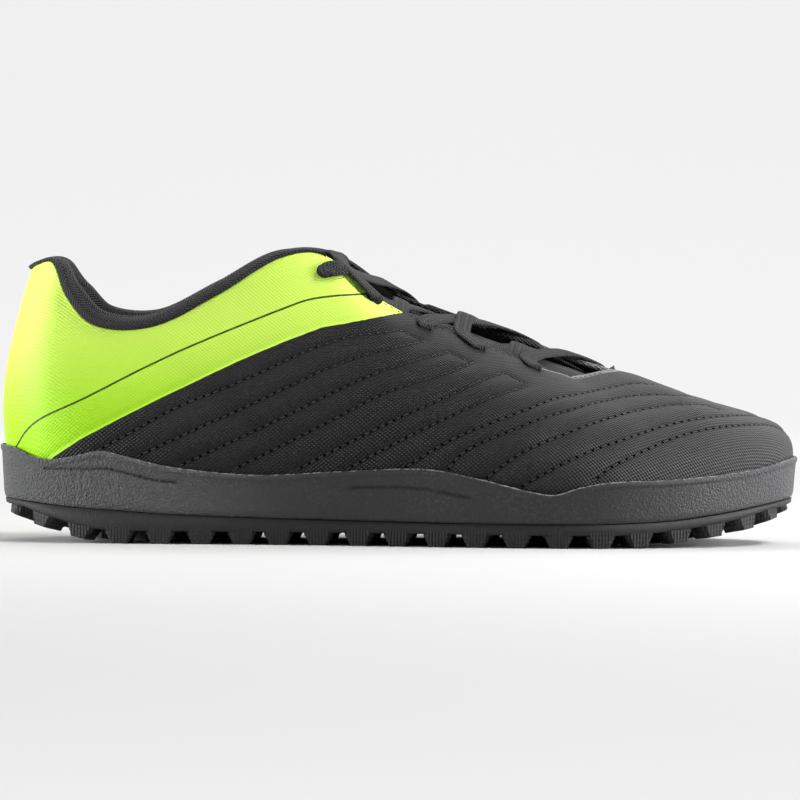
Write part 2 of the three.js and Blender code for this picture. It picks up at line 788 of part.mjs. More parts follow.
/** One flat strap of lace between two eyelets, at a height over the throat's skin. */
function strap(from, to, flip, lift, overlap, lead) {
  const near = 0.01;
  const reach = 1 + eyeletFromEdge / tongueTuck;
  const end = reach * (flip ? -1 : 1);
  const half = [0.5, 1, (1 + reach) / 2, reach];
  const loops = [];
  const rib = (s) => THREE.MathUtils.lerp(from, to, s ** lead);
  const path = (s) => {
    const point = throatPoint(rib(s), (2 * s - 1) * end, lift);
    point.z += overlap * Math.sin(Math.PI * s);
    return point;
  };
  for (const c of [...[...half].reverse().map((value) => -value), 0, ...half]) {
    const s = (c / reach + 1) / 2;
    const here = path(s);
    const along = path(Math.min(s + near, 1)).sub(path(Math.max(s - near, 0))).normalize();
    const lower = throatPoint(rib(s) - near, (2 * s - 1) * end, lift);
    const upper = throatPoint(rib(s) + near, (2 * s - 1) * end, lift);
    const across = upper.sub(lower);
    across.addScaledVector(along, -across.dot(along)).normalize();
    const normal = across.clone().cross(along).normalize();
    const sign = normal.z < 0 ? -1 : 1;
    const corner = (a, b) => here.clone()
      .addScaledVector(across, a * laceWidth / 2)
      .addScaledVector(normal, sign * b * laceThickness / 2);
    loops.push([corner(-1, -1), corner(-1, 1), corner(1, 1), corner(1, -1)]);
  }
  return toManifold(loft(loops));
}

/** Straps of one lace row, joined where they cross. */
function makeLace(row) {
  const { from, to, over, lead } = row;
  const above = panelStep + laceFit + laceThickness / 2;
  const under = upperWall + clearance + laceSink + laceThickness / 2;
  const level = over ? above : -under;
  const [lateralFrom, medialFrom] = [eyeletRows[from].lateral, eyeletRows[from].medial];
  const [lateralTo, medialTo] = [eyeletRows[to].lateral, eyeletRows[to].medial];
  const rise = over ? laceRise : 0;
  const first = strap(lateralFrom, medialTo, false, level, rise, lead);
  if (from === to) {
    return toGeometry(first);
  }
  return toGeometry(first.add(strap(medialFrom, lateralTo, true, level, rise, 1 / lead)));
}

/** Names a mesh and gives it its finish. */
function piece(name, geometry, finish) {
  geometry.computeVertexNormals();
  const mesh = new THREE.Mesh(geometry, new THREE.MeshStandardMaterial(finish));
  mesh.name = name;
  return mesh;
}

const group = new THREE.Group();
group.add(piece('outsole', makeOutsole(), { color: 0x2b2c2e, roughness: 0.75, metalness: 0 }));
group.add(piece('midsole', makeMidsole(), { color: 0x333437, roughness: 0.7, metalness: 0 }));
group.add(piece('upper', makeUpper(), { color: 0xb6ec24, roughness: 0.5, metalness: 0 }));
group.add(piece('insole', makeInsole(), { color: 0x242526, roughness: 0.9, metalness: 0 }));
group.add(piece('tongue', makeTongue(), { color: 0x2e2f31, roughness: 0.9, metalness: 0 }));
group.add(piece('collar', makeCollar(), { color: 0x2a2b2c, roughness: 0.95, metalness: 0 }));
for (const row of laceRows) {
  group.add(piece(row.name, makeLace(row), { color: 0x2b2c2d, roughness: 0.9, metalness: 0 }));
}

// The origin is below the middle of the whole shoe, on the ground
const box = new THREE.Box3().setFromObject(group);
const middle = box.getCenter(new THREE.Vector3());
group.position.set(-middle.x, -middle.y, -box.min.z);

export default group;
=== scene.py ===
"""Looks of a turf shoe for the right foot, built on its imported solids, in metres.

X runs from the heel to the toe, Y from the lateral side to the medial side, and Z up from the ground.
The last is a family of ribs that climb from the sole to the topline, the throat or the toe box crest.
"""
import logging
import math
from dataclasses import dataclass
from enum import Enum

import bmesh
import bpy
import numpy as np
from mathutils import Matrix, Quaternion, Vector
from mathutils.bvhtree import BVHTree
from mathutils.kdtree import KDTree


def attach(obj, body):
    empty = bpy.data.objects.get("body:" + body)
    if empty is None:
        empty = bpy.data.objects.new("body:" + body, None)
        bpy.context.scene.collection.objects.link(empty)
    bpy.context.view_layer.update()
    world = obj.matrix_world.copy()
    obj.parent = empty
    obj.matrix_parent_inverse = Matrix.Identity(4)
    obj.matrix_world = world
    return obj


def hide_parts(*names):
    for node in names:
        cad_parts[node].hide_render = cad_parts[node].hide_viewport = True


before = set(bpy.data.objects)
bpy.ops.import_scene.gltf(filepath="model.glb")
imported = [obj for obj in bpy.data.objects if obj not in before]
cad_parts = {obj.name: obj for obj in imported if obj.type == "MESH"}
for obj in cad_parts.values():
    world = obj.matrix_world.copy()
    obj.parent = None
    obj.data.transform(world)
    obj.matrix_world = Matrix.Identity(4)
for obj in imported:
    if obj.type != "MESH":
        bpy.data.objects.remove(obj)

LOG = logging.getLogger("turf_shoe")
MM = 0.001
TURN = 32
LAST_RIB = 16
THROAT_FRONT = 13
Colour = tuple[float, float, float]
Array = np.ndarray


class Table:
    """Rows of numbers with named columns."""

    def __init__(self, columns: str, *rows: tuple[float, ...]) -> None:
        """Keeps the names of the columns, which have spaces between them, and the rows."""
        self.names = columns.split()
        self.rows = np.array(rows, dtype=float)

    def column(self, name: str) -> Array:
        """Returns one column."""
        return self.rows[:, self.names.index(name)]

    def smooth(self, name: str, knots: Array, place: Array) -> Array:
        """Reads a column between its rows as a smooth curve.

        Args:
            name: the column.
            knots: where each row stands.
            place: where to read.

        Returns:
            The column's values at the places.
        """
        values = self.column(name)
        slope = np.gradient(values, knots)
        slope[1:-1] = (values[2:] - values[:-2]) / (knots[2:] - knots[:-2])
        place = np.clip(place, knots[0], knots[-1])
        i = np.clip(np.searchsorted(knots, place) - 1, 0, len(knots) - 2)
        span = knots[i + 1] - knots[i]
        s = (place - knots[i]) / span
        start = values[i] * (1 + 2 * s) * (1 - s) ** 2 + slope[i] * span * s * (1 - s) ** 2
        return start + values[i + 1] * s * s * (3 - 2 * s) - slope[i + 1] * span * s * s * (1 - s)


OUTLINE = Table(
    "at lateral medial",
    (0.0, 0.0, 0.0), (0.012, 0.13, 0.13), (0.045, 0.23, 0.225), (0.08, 0.283, 0.27),
    (0.13, 0.325, 0.303), (0.21, 0.352, 0.312), (0.31, 0.355, 0.285), (0.41, 0.375, 0.285),
    (0.5, 0.418, 0.335), (0.59, 0.468, 0.42), (0.67, 0.497, 0.48), (0.75, 0.49, 0.495),
    (0.83, 0.43, 0.465), (0.9, 0.34, 0.4), (0.95, 0.235, 0.33), (0.985, 0.1, 0.225), (1.0, -0.06, 0.06),
)
LATERAL_EDGE = Table(
    "x y z",
    (0.035, 0.0, 0.975), (0.046, -0.083, 0.992), (0.067, -0.155, 0.998), (0.085, -0.204, 0.88),
    (0.119, -0.243, 0.778), (0.19, -0.272, 0.768), (0.275, -0.272, 0.888), (0.352, -0.248, 1.022),
    (0.401, -0.21, 1.038), (0.479, -0.165, 0.876), (0.56, -0.14, 0.766), (0.648, -0.128, 0.667),
    (0.708, -0.112, 0.602), (0.764, 0.045, 0.63), (0.831, 0.053, 0.562), (0.88, 0.058, 0.513),
    (0.901, 0.058, 0.496),
)
MEDIAL_EDGE = Table(
    "x y z",
    (0.035, 0.0, 0.975), (0.046, 0.083, 0.998), (0.067, 0.155, 1.002), (0.088, 0.2, 0.892),
    (0.121, 0.233, 0.796), (0.194, 0.248, 0.786), (0.278, 0.243, 0.903), (0.359, 0.233, 1.026),
    (0.415, 0.222, 1.045), (0.503, 0.2, 0.9), (0.588, 0.19, 0.806), (0.676, 0.183, 0.718),
    (0.771, 0.15, 0.622), (0.764, 0.045, 0.63), (0.831, 0.053, 0.562), (0.88, 0.058, 0.513),
    (0.901, 0.058, 0.496),
)
BENDS = Table(
    "bulge rise lean reach crown",
    (0.095, 0.39, 76, 0.34, 0.0), (0.095, 0.39, 76, 0.34, 0.0), (0.09, 0.39, 78, 0.34, 0.0),
    (0.09, 0.38, 80, 0.33, 0.0), (0.085, 0.38, 82, 0.33, 0.0), (0.08, 0.38, 80, 0.33, 0.0),
    (0.065, 0.38, 75, 0.33, 0.0), (0.055, 0.38, 66, 0.34, 0.0), (0.055, 0.4, 55, 0.34, 0.02),
    (0.06, 0.42, 42, 0.34, 0.12), (0.07, 0.42, 34, 0.36, 0.18), (0.08, 0.42, 27, 0.38, 0.22),
    (0.085, 0.42, 20, 0.4, 0.24), (0.09, 0.44, 16, 0.42, 0.0), (0.095, 0.47, 16, 0.48, 0.0),
    (0.1, 0.49, 16, 0.56, 0.0), (0.105, 0.5, 15, 0.62, 0.0),
)
SOLE = Table(
    "at lip parting ground bed",
    (0.0, 1.0, 0.9, 0.79, 0.78), (0.02, 0.975, 0.87, 0.66, 0.82), (0.045, 0.885, 0.825, 0.47, 0.88),
    (0.07, 0.862, 0.782, 0.31, 0.94), (0.1, 0.905, 0.742, 0.15, 1.0), (0.13, 0.955, 0.71, 0.03, 1.0),
    (0.155, 0.915, 0.688, 0.0, 1.0), (0.22, 0.795, 0.62, 0.0, 1.0), (0.32, 0.722, 0.565, 0.0, 0.95),
    (0.42, 0.762, 0.53, 0.0, 0.85), (0.53, 0.8, 0.506, 0.0, 0.75), (0.6, 0.7, 0.5, 0.0, 0.68),
    (0.66, 0.582, 0.5, 0.0, 0.63), (0.69, 0.552, 0.5, 0.0, 0.61), (0.72, 0.626, 0.5, 0.0, 0.59),
    (0.76, 0.682, 0.512, 0.0, 0.57), (0.83, 0.706, 0.565, 0.105, 0.55),
    (0.9, 0.756, 0.712, 0.315, 0.52), (0.95, 0.82, 0.853, 0.56, 0.5), (1.0, 0.918, 1.0, 1.0, 0.46),
)
PANEL = Table(
    "x z",
    (0.04, 0.14), (0.05, 0.24), (0.073, 0.307), (0.107, 0.372), (0.157, 0.449), (0.206, 0.521),
    (0.255, 0.59), (0.304, 0.658), (0.353, 0.719), (0.402, 0.774), (0.451, 0.8), (0.5, 0.826),
    (0.535, 0.86), (0.56, 1.2),
)
EYELETS = Table(
    "lateral medial",
    (7.85, 8.0), (8.64, 8.92), (9.42, 9.93), (10.22, 10.75), (11.0, 11.62),
)
COLLAR = Table(
    "band pad",
    (0.6, 1.25), (0.5, 1.25), (0.62, 1.2), (1.3, 1.1), (1.35, 1.0), (1.1, 0.95), (1.02, 0.9),
    (0.8, 0.85), (0.26, 0.6), (0.1, 0.0),
)
TONGUE = Table(
    "rib reach drop",
    (7.35, 0.56, 1.1), (7.7, 0.64, 0.7), (8.1, 0.72, 0.4), (8.5, 0.95, 0.2), (8.9, 1.6, 0.0),
    (9.3, 2.0, 0.0), (9.8, 2.0, 0.0), (10.4, 2.0, 0.0), (11.0, 2.0, 0.0), (11.5, 2.0, 0.0),
    (12.0, 2.0, 0.0), (13.3, 2.0, 0.0),
)
PRINT_LINE = Table(
    "x z",
    (0.012, 0.3), (0.024, 0.342), (0.036, 0.394), (0.053, 0.437), (0.111, 0.518), (0.196, 0.645),
    (0.259, 0.728), (0.322, 0.804), (0.354, 0.841), (0.385, 0.874), (0.417, 0.889), (0.457, 0.897),
)
# Seams of the quilted panel from the side, rearmost first: shares of the length and the collar height
SEAMS = (
    ((0.131, 0.337), (0.166, 0.392), (0.229, 0.493), (0.285, 0.558), (0.338, 0.627), (0.380, 0.685),
     (0.412, 0.721), (0.443, 0.746), (0.499, 0.765), (0.528, 0.725)),
    ((0.178, 0.314), (0.255, 0.419), (0.313, 0.495), (0.367, 0.571), (0.412, 0.632), (0.466, 0.687),
     (0.497, 0.708), (0.528, 0.725)),
    ((0.231, 0.283), (0.305, 0.384), (0.367, 0.471), (0.409, 0.532), (0.450, 0.590), (0.501, 0.645),
     (0.559, 0.688), (0.588, 0.649)),
    ((0.299, 0.273), (0.373, 0.382), (0.426, 0.462), (0.479, 0.541), (0.517, 0.581), (0.556, 0.614),
     (0.588, 0.649)),
    ((0.375, 0.272), (0.454, 0.392), (0.496, 0.453), (0.563, 0.540), (0.600, 0.590), (0.627, 0.616),
     (0.657, 0.573)),
    ((0.438, 0.277), (0.512, 0.394), (0.579, 0.487), (0.610, 0.527), (0.657, 0.573)),
    ((0.504, 0.276), (0.563, 0.381), (0.603, 0.432), (0.657, 0.492), (0.701, 0.534), (0.747, 0.554),
     (0.779, 0.572), (0.824, 0.577)),
    ((0.557, 0.268), (0.579, 0.339), (0.641, 0.422), (0.700, 0.482), (0.752, 0.517), (0.794, 0.534),
     (0.835, 0.538), (0.865, 0.530)),
    ((0.603, 0.241), (0.649, 0.338), (0.703, 0.406), (0.751, 0.455), (0.792, 0.482), (0.834, 0.503),
     (0.873, 0.503), (0.896, 0.485)),
    ((0.646, 0.214), (0.671, 0.257), (0.725, 0.336), (0.782, 0.392), (0.833, 0.437), (0.885, 0.461),
     (0.929, 0.463), (0.961, 0.449)),
    ((0.738, 0.244), (0.759, 0.291), (0.797, 0.343), (0.838, 0.392), (0.877, 0.419), (0.927, 0.432),
     (0.963, 0.426), (0.984, 0.400)),
)
# Creases of the upper: place and lean as shares of the length, width and depth in millimetres
CREASES = ((0.7, 0.16, 5.5, 0.5), (0.745, 0.1, 6.5, 0.4), (0.64, 0.22, 6, 0.35), (0.3, -0.5, 9, 0.3))
# Moulded grooves of the cup's side, from the side: shares of the length and the collar height
CUP_GROOVES = (
    ((0.062, 0.264), (0.104, 0.264), (0.141, 0.268), (0.169, 0.249), (0.200, 0.227), (0.225, 0.220)),
    ((0.442, 0.209), (0.499, 0.213), (0.531, 0.209), (0.556, 0.196), (0.588, 0.178)),
)


def smoothstep(low: float, high: float, value: Array) -> Array:
    """Returns a smooth ramp from 0 at low to 1 at high."""
    s = np.clip((value - low) / (high - low), 0, 1)
    return s * s * (3 - 2 * s)


def unit(vectors: Array) -> Array:
    """Returns the vectors at length 1."""
    return vectors / np.maximum(np.linalg.norm(vectors, axis=-1, keepdims=True), 1e-12)


def walked(line: Array) -> Array:
    """Returns the length walked along a line at each of its points."""
    return np.concatenate([[0], np.linalg.norm(np.diff(line, axis=0), axis=1).cumsum()])


def link(name: str, data: bpy.types.ID) -> bpy.types.Object:
    """Makes an object and links it to the scene.

    Args:
        name: its name.
        data: its mesh, light or camera.

    Returns:
        The object.
    """
    made = bpy.data.objects.new(name, data)
    bpy.context.scene.collection.objects.link(made)
    return made


class Spline:
    """Centripetal curve through points."""

    def __init__(self, points: Array, closed: bool = False) -> None:
        """Pads the points for the curve's ends.

        Args:
            points: one row for each point.
            closed: whether the last point joins the first.
        """
        points = np.asarray(points, dtype=float)
        self.closed = closed
        self.spans = len(points) - (0 if closed else 1)
        if closed:
            self.padded = np.vstack([points[-1:], points, points[:2]])
        else:
            self.padded = np.vstack([2 * points[0] - points[1], points, 2 * points[-1] - points[-2]])

    def read(self, share: Array, slope: bool = False) -> Array:
        """Reads points, or slopes, at shares of the curve's rows.

        Args:
            share: from 0 to 1.
            slope: whether to return the direction instead of the place.

        Returns:
            One row for each share.
        """
        place = np.asarray(share, dtype=float) * self.spans
        if self.closed:
            place = place % self.spans
        i = np.clip(np.floor(place).astype(int), 0, self.spans - 1)
        s = (place - i)[..., None]
        a, b, c, d = (self.padded[i + k] for k in range(4))
        step = [np.linalg.norm(q - p, axis=-1, keepdims=True) ** 0.5 for p, q in ((a, b), (b, c), (c, d))]
        step = [np.where(value < 1e-6, step[1], value) for value in step]
        leave = ((b - a) / step[0] - (c - a) / (step[0] + step[1]) + (c - b) / step[1]) * step[1]
        arrive = ((c - b) / step[1] - (d - b) / (step[1] + step[2]) + (d - c) / step[2]) * step[1]
        square = -3 * b + 3 * c - 2 * leave - arrive
        cube = 2 * b - 2 * c + leave + arrive
        if slope:
            return leave + 2 * square * s + 3 * cube * s * s
        return b + leave * s + square * s * s + cube * s ** 3


def line_distance(points: Array, line: Array) -> tuple[Array, Array]:
    """Distances in a plane from points to a bent line.

    Args:
        points: rows of two numbers.
        line: the line's corners, rows of two numbers.

    Returns:
        The distances, and which side each point is on: 1 to the right of the line's run, -1 to the left.
    """
    best = np.full(len(points), np.inf)
    side = np.ones(len(points))
    for a, b in zip(line[:-1], line[1:]):
        run = b - a
        s = np.clip(((points - a) @ run) / (run @ run), 0, 1)
        gap = points - (a + s[:, None] * run)
        far = np.hypot(gap[:, 0], gap[:, 1])
        turn = run[0] * (points[:, 1] - a[1]) - run[1] * (points[:, 0] - a[0])
        near = far < best
        best = np.where(near, far, best)
        side = np.where(near, np.where(turn > 0, -1.0, 1.0), side)
    return best, side


def nearest(points: Array, samples: Array) -> Array:
    """Finds each point's distance to the nearest sample.

    Args:
        points: the points.
        samples: the samples.

    Returns:
        One distance for each point.
    """
    tree = KDTree(len(samples))
    for i, sample in enumerate(samples):
        tree.insert(sample, i)
    tree.balance()
    return np.array([tree.find(point)[2] for point in points])


@dataclass(frozen=True)
class LastSizes:
    """Driving sizes of the last and the sole, the same as in the part's source."""

    length: float = 284 * MM
    ball_width: float = 103 * MM
    collar_height: float = 98 * MM
    lip_height: float = 34 * MM
    parting_height: float = 17 * MM
    toe_spring: float = 14 * MM
    wall: float = 2 * MM
    panel_step: float = 0.8 * MM
    upper_inset: float = 3.4 * MM
    margin: float = 8 * MM
    feather: float = 5 * MM
    bed: float = 6.5 * MM
    clearance: float = 0.3 * MM
    eyelet_from_edge: float = 7.5 * MM
    tongue_tuck: float = 11 * MM
    tongue_nose: float = 13 * MM


class Last:
    """The shoe's skin and sole as functions of a place w round the shoe and a height v on the rib."""

    def __init__(self, sizes: LastSizes = LastSizes()) -> None:
        """Builds the curves.

        Args:
            sizes: the last's driving sizes.
        """
        self.sizes = sizes
        scale = np.array([sizes.length, sizes.ball_width, sizes.collar_height])
        at = OUTLINE.column("at") * sizes.length
        lateral = np.stack([at, -OUTLINE.column("lateral") * sizes.ball_width, 0 * at], 1)
        medial = np.stack([at, OUTLINE.column("medial") * sizes.ball_width, 0 * at], 1)
        self.outline_curve = Spline(np.vstack([lateral, medial[1:LAST_RIB][::-1]]), closed=True)
        edges = [table.rows * scale for table in (LATERAL_EDGE, MEDIAL_EDGE)]
        self.topline = [Spline(edge[:THROAT_FRONT]) for edge in edges]
        self.front = [Spline(edge[THROAT_FRONT - 1:THROAT_FRONT + 1]) for edge in edges]
        self.crest = Spline(edges[0][THROAT_FRONT:])

    def sole(self, column: str, x: Array) -> Array:
        """Returns one of the sole's columns at places along the length."""
        return SOLE.smooth(column, SOLE.column("at"), np.asarray(x) / self.sizes.length)

    def lip(self, x: Array) -> Array:
        """Returns the height of the cup's lip."""
        return self.sizes.lip_height * self.sole("lip", x)

    def parting(self, x: Array) -> Array:
        """Returns the height of the line between cup and tread."""
        return self.sizes.parting_height * self.sole("parting", x)

    def ground(self, x: Array) -> Array:
        """Returns the height of the lugs' feet."""
        return np.maximum(0, self.sizes.toe_spring * self.sole("ground", x))

    def bed(self, x: Array) -> Array:
        """Returns the height of the bed inside the cup."""
        return self.parting(x) + self.sizes.bed * self.sole("bed", x)

    def rib(self, w: Array) -> tuple[Array, Array]:
        """Returns whether each place is medial, and its rib from the heel."""
        turn = np.mod(w, TURN)
        return turn > LAST_RIB, np.where(turn > LAST_RIB, TURN - turn, turn)

    def outline(self, w: Array, inset: float | Array) -> Array:
        """Points of the sole's outline.

        Args:
            w: places round the shoe.
            inset: how far they move inwards.

        Returns:
            One level point for each place.
        """
        share = np.mod(w, TURN) / TURN
        run = unit(self.outline_curve.read(share, slope=True))
        inwards = np.stack([-run[..., 1], run[..., 0], 0 * run[..., 0]], -1)
        return self.outline_curve.read(share) + inwards * np.asarray(inset)[..., None]

    def outward(self, w: Array) -> Array:
        """Returns unit vectors that point away from the shoe, level with the ground."""
        run = unit(self.outline_curve.read(np.mod(w, TURN) / TURN, slope=True))
        return np.stack([run[..., 1], -run[..., 0], 0 * run[..., 0]], -1)

    def bend(self, column: str, u: Array) -> Array:
        """Returns one of the bends' columns at ribs."""
        return BENDS.smooth(column, np.arange(LAST_RIB + 1.0), u)

    def edge(self, w: Array) -> Array:
        """Ends of the ribs: topline, throat or toe box crest.

        Args:
            w: places round the shoe.

        Returns:
            One point for each place.
        """
        medial, u = self.rib(w)
        back = [curve.read(np.clip(u / (THROAT_FRONT - 1), 0, 1)) for curve in self.topline]
        front = [curve.read(np.clip(u - THROAT_FRONT + 1, 0, 1)) for curve in self.front]
        crest = self.crest.read(np.clip((u - THROAT_FRONT) / (LAST_RIB - THROAT_FRONT), 0, 1))
        sides = [np.where((u > THROAT_FRONT - 1)[..., None], front[k], back[k]) for k in (0, 1)]
        open_edge = np.where(medial[..., None], sides[1], sides[0])
        return np.where((u >= THROAT_FRONT)[..., None], crest, open_edge)

    def skin(self, w: Array, v: Array) -> Array:
        """Points of the last's skin.

        Args:
            w: places round the shoe, from 0 to 32.
            v: -2 to -1 on the lasting margin, to 0 on the feather, to 1 on the rib.

        Returns:
            One point for each pair.
        """
        w, v = np.broadcast_arrays(np.asarray(w, dtype=float), np.asarray(v, dtype=float))
        sizes = self.sizes
        _, u = self.rib(w)
        away = self.outward(w)
        foot = self.outline(w, sizes.upper_inset)
        lift = sizes.panel_step + sizes.clearance
        inset = sizes.upper_inset + sizes.feather
        base = self.bed(self.outline(w, inset)[..., 0]) + lift
        margin = self.outline(w, inset + np.clip(-1 - v, 0, 1) * sizes.margin)
        margin[..., 2] = self.bed(margin[..., 0]) + lift
        angle = np.clip(-v, 0, 1) * math.pi / 2
        feather = foot - away * (sizes.feather * (1 - np.cos(angle)))[..., None]
        feather[..., 2] = base + sizes.feather * (1 - np.sin(angle))
        foot[..., 2] = base + sizes.feather
        edge = self.edge(w)
        chord = np.linalg.norm(edge - foot, axis=-1)
        lean = np.radians(self.bend("lean", u))
        inwards = edge - foot
        inwards[..., 2] = 0
        arrival = unit(inwards) * np.cos(lean)[..., None]
        arrival[..., 2] = np.sin(lean)
        first = foot + away * (self.bend("bulge", u) * chord)[..., None]
        first[..., 2] += self.bend("rise", u) * chord
        last = edge - arrival * (self.bend("reach", u) * chord)[..., None]
        t = np.clip(v, 0, 1)[..., None]
        rib = foot * (1 - t) ** 3 + first * 3 * t * (1 - t) ** 2 + last * 3 * t * t * (1 - t) + edge * t ** 3
        low = np.where((v < -1)[..., None], margin, feather)
        return np.where((v < 0)[..., None], low, rib)

    def slope_normal(self, w: Array, v: Array) -> Array:
        """Normals from the slopes of the skin along both of its parameters.

        Args:
            w: places round the shoe.
            v: heights on the ribs.

        Returns:
            Outward unit vectors.
        """
        step = 0.02
        along = self.skin(w + step, v) - self.skin(w - step, v)
        up = self.skin(w, np.minimum(v + step, 1)) - self.skin(w, np.maximum(v - step, -2))
        return unit(np.cross(along, up))

    def normal(self, w: Array, v: Array) -> Array:
        """Normals of the skin, level across the toe box crest.

        Args:
            w: places round the shoe.
            v: heights on the ribs.

        Returns:
            Outward unit vectors.
        """
        w, v = np.broadcast_arrays(np.asarray(w, dtype=float), np.asarray(v, dtype=float))
        step = 0.02
        _, u = self.rib(w)
        low = np.full_like(v, 1 - 2 * step)
        both = unit(self.slope_normal(u, low) + self.slope_normal(TURN - u, low))
        crest = (u > THROAT_FRONT - step) & (v > 1 - step)
        return np.where(crest[..., None], both, self.slope_normal(w, v))

    def off(self, w: Array, v: Array, distance: float | Array) -> Array:
        """Returns points at a distance outside the skin."""
        return self.skin(w, v) + self.normal(w, v) * np.asarray(distance)[..., None]

    def below_edge(self, w: Array, distance: Array) -> Array:
        """Finds where each rib has a given length left before its edge.

        Args:
            w: places round the shoe.
            distance: the length left.

        Returns:
            The v of each place.
        """
        w, distance = np.broadcast_arrays(np.asarray(w, dtype=float), np.asarray(distance, dtype=float))
        steps = np.linspace(1, 0, 121)
        ribs = self.skin(w.reshape(-1, 1), steps[None, :])
        runs = np.linalg.norm(np.diff(ribs, axis=1), axis=-1).cumsum(axis=1)
        runs = np.hstack([np.zeros((len(runs), 1)), runs])
        found = [np.interp(d, run, steps) for d, run in zip(distance.ravel(), runs)]
        return np.array(found).reshape(w.shape)

    def at_height(self, w: Array, z: Array) -> Array:
        """Finds where each rib reaches a height.

        Args:
            w: places round the shoe.
            z: the heights.

        Returns:
            The v of each place.
        """
        steps = np.linspace(0, 1, 201)
        heights = self.skin(np.asarray(w).reshape(-1, 1), steps[None, :])[..., 2]
        rising = np.maximum.accumulate(heights, axis=1)
        return np.array([np.interp(level, row, steps) for level, row in zip(np.ravel(z), rising)])

    def throat(self, u: Array, c: Array, distance: Array) -> Array:
        """Points over the throat.

        Args:
            u: ribs from the heel.
            c: -1 and 1 on the throat's edges, and beyond them down the eyestays.
            distance: height over the skin.

        Returns:
            One point for each place.
        """
        u, c, distance = (a.astype(float) for a in np.broadcast_arrays(u, c, distance))
        sizes = self.sizes
        w = np.where(c < 0, u, TURN - u)
        nose = np.abs(c) * sizes.tongue_nose / 2
        beyond = np.where(u >= THROAT_FRONT, nose, np.maximum(np.abs(c) - 1, 0) * sizes.tongue_tuck)
        down = self.off(w, self.below_edge(w, beyond), distance)
        left = self.off(u, 1.0, distance)
        right = self.off(TURN - u, 1.0, distance)
        crown = np.linalg.norm(left - right, axis=-1) / 2 * self.bend("crown", u)
        bridge = left + (right - left) * ((c + 1) / 2)[..., None]
        bridge[..., 2] += crown * (1 - c * c)
        flat = (u < THROAT_FRONT) & (np.abs(c) <= 1)
        return np.where(flat[..., None], bridge, down)

    def place(self, x: Array, z: Array) -> tuple[Array, Array]:
        """Finds where points of the lateral side view lie on the skin.

        Args:
            x: places along the length.
            z: heights.

        Returns:
            The rib and the v of each point.
        """
        u, v = (a.ravel() for a in np.meshgrid(np.linspace(0, 16, 129), np.linspace(0.02, 1, 50)))
        grid = self.skin(u, v)
        start = [int(np.argmin((grid[:, 0] - a) ** 2 + (grid[:, 2] - b) ** 2)) for a, b in zip(x, z)]
        u, v = u[start], v[start]
        step = 0.01
        for _ in range(6):
            here = self.skin(u, v)
            by_u = (self.skin(u + step, v) - self.skin(u - step, v)) / (2 * step)
            by_v = (self.skin(u, v) - self.skin(u, v - step)) / step
            det = by_u[:, 0] * by_v[:, 2] - by_u[:, 2] * by_v[:, 0]
            det = np.where(np.abs(det) < 1e-9, 1e-9, det)
            dx, dz = x - here[:, 0], z - here[:, 2]
            u = u + np.clip((dx * by_v[:, 2] - dz * by_v[:, 0]) / det, -0.2, 0.2)
            v = v + np.clip((by_u[:, 0] * dz - by_u[:, 2] * dx) / det, -0.03, 0.03)
            u, v = np.clip(u, 0, LAST_RIB), np.clip(v, 0.02, 1)
        return u, v


LAST = Last()
SIZES = LAST.sizes
ORIGIN = np.array([142.0, -0.2, 0.0]) * MM


def side_line(rows: Array) -> Array:
    """Returns rows of shares from the side view as places in metres."""
    return np.asarray(rows) * np.array([SIZES.length, SIZES.collar_height])


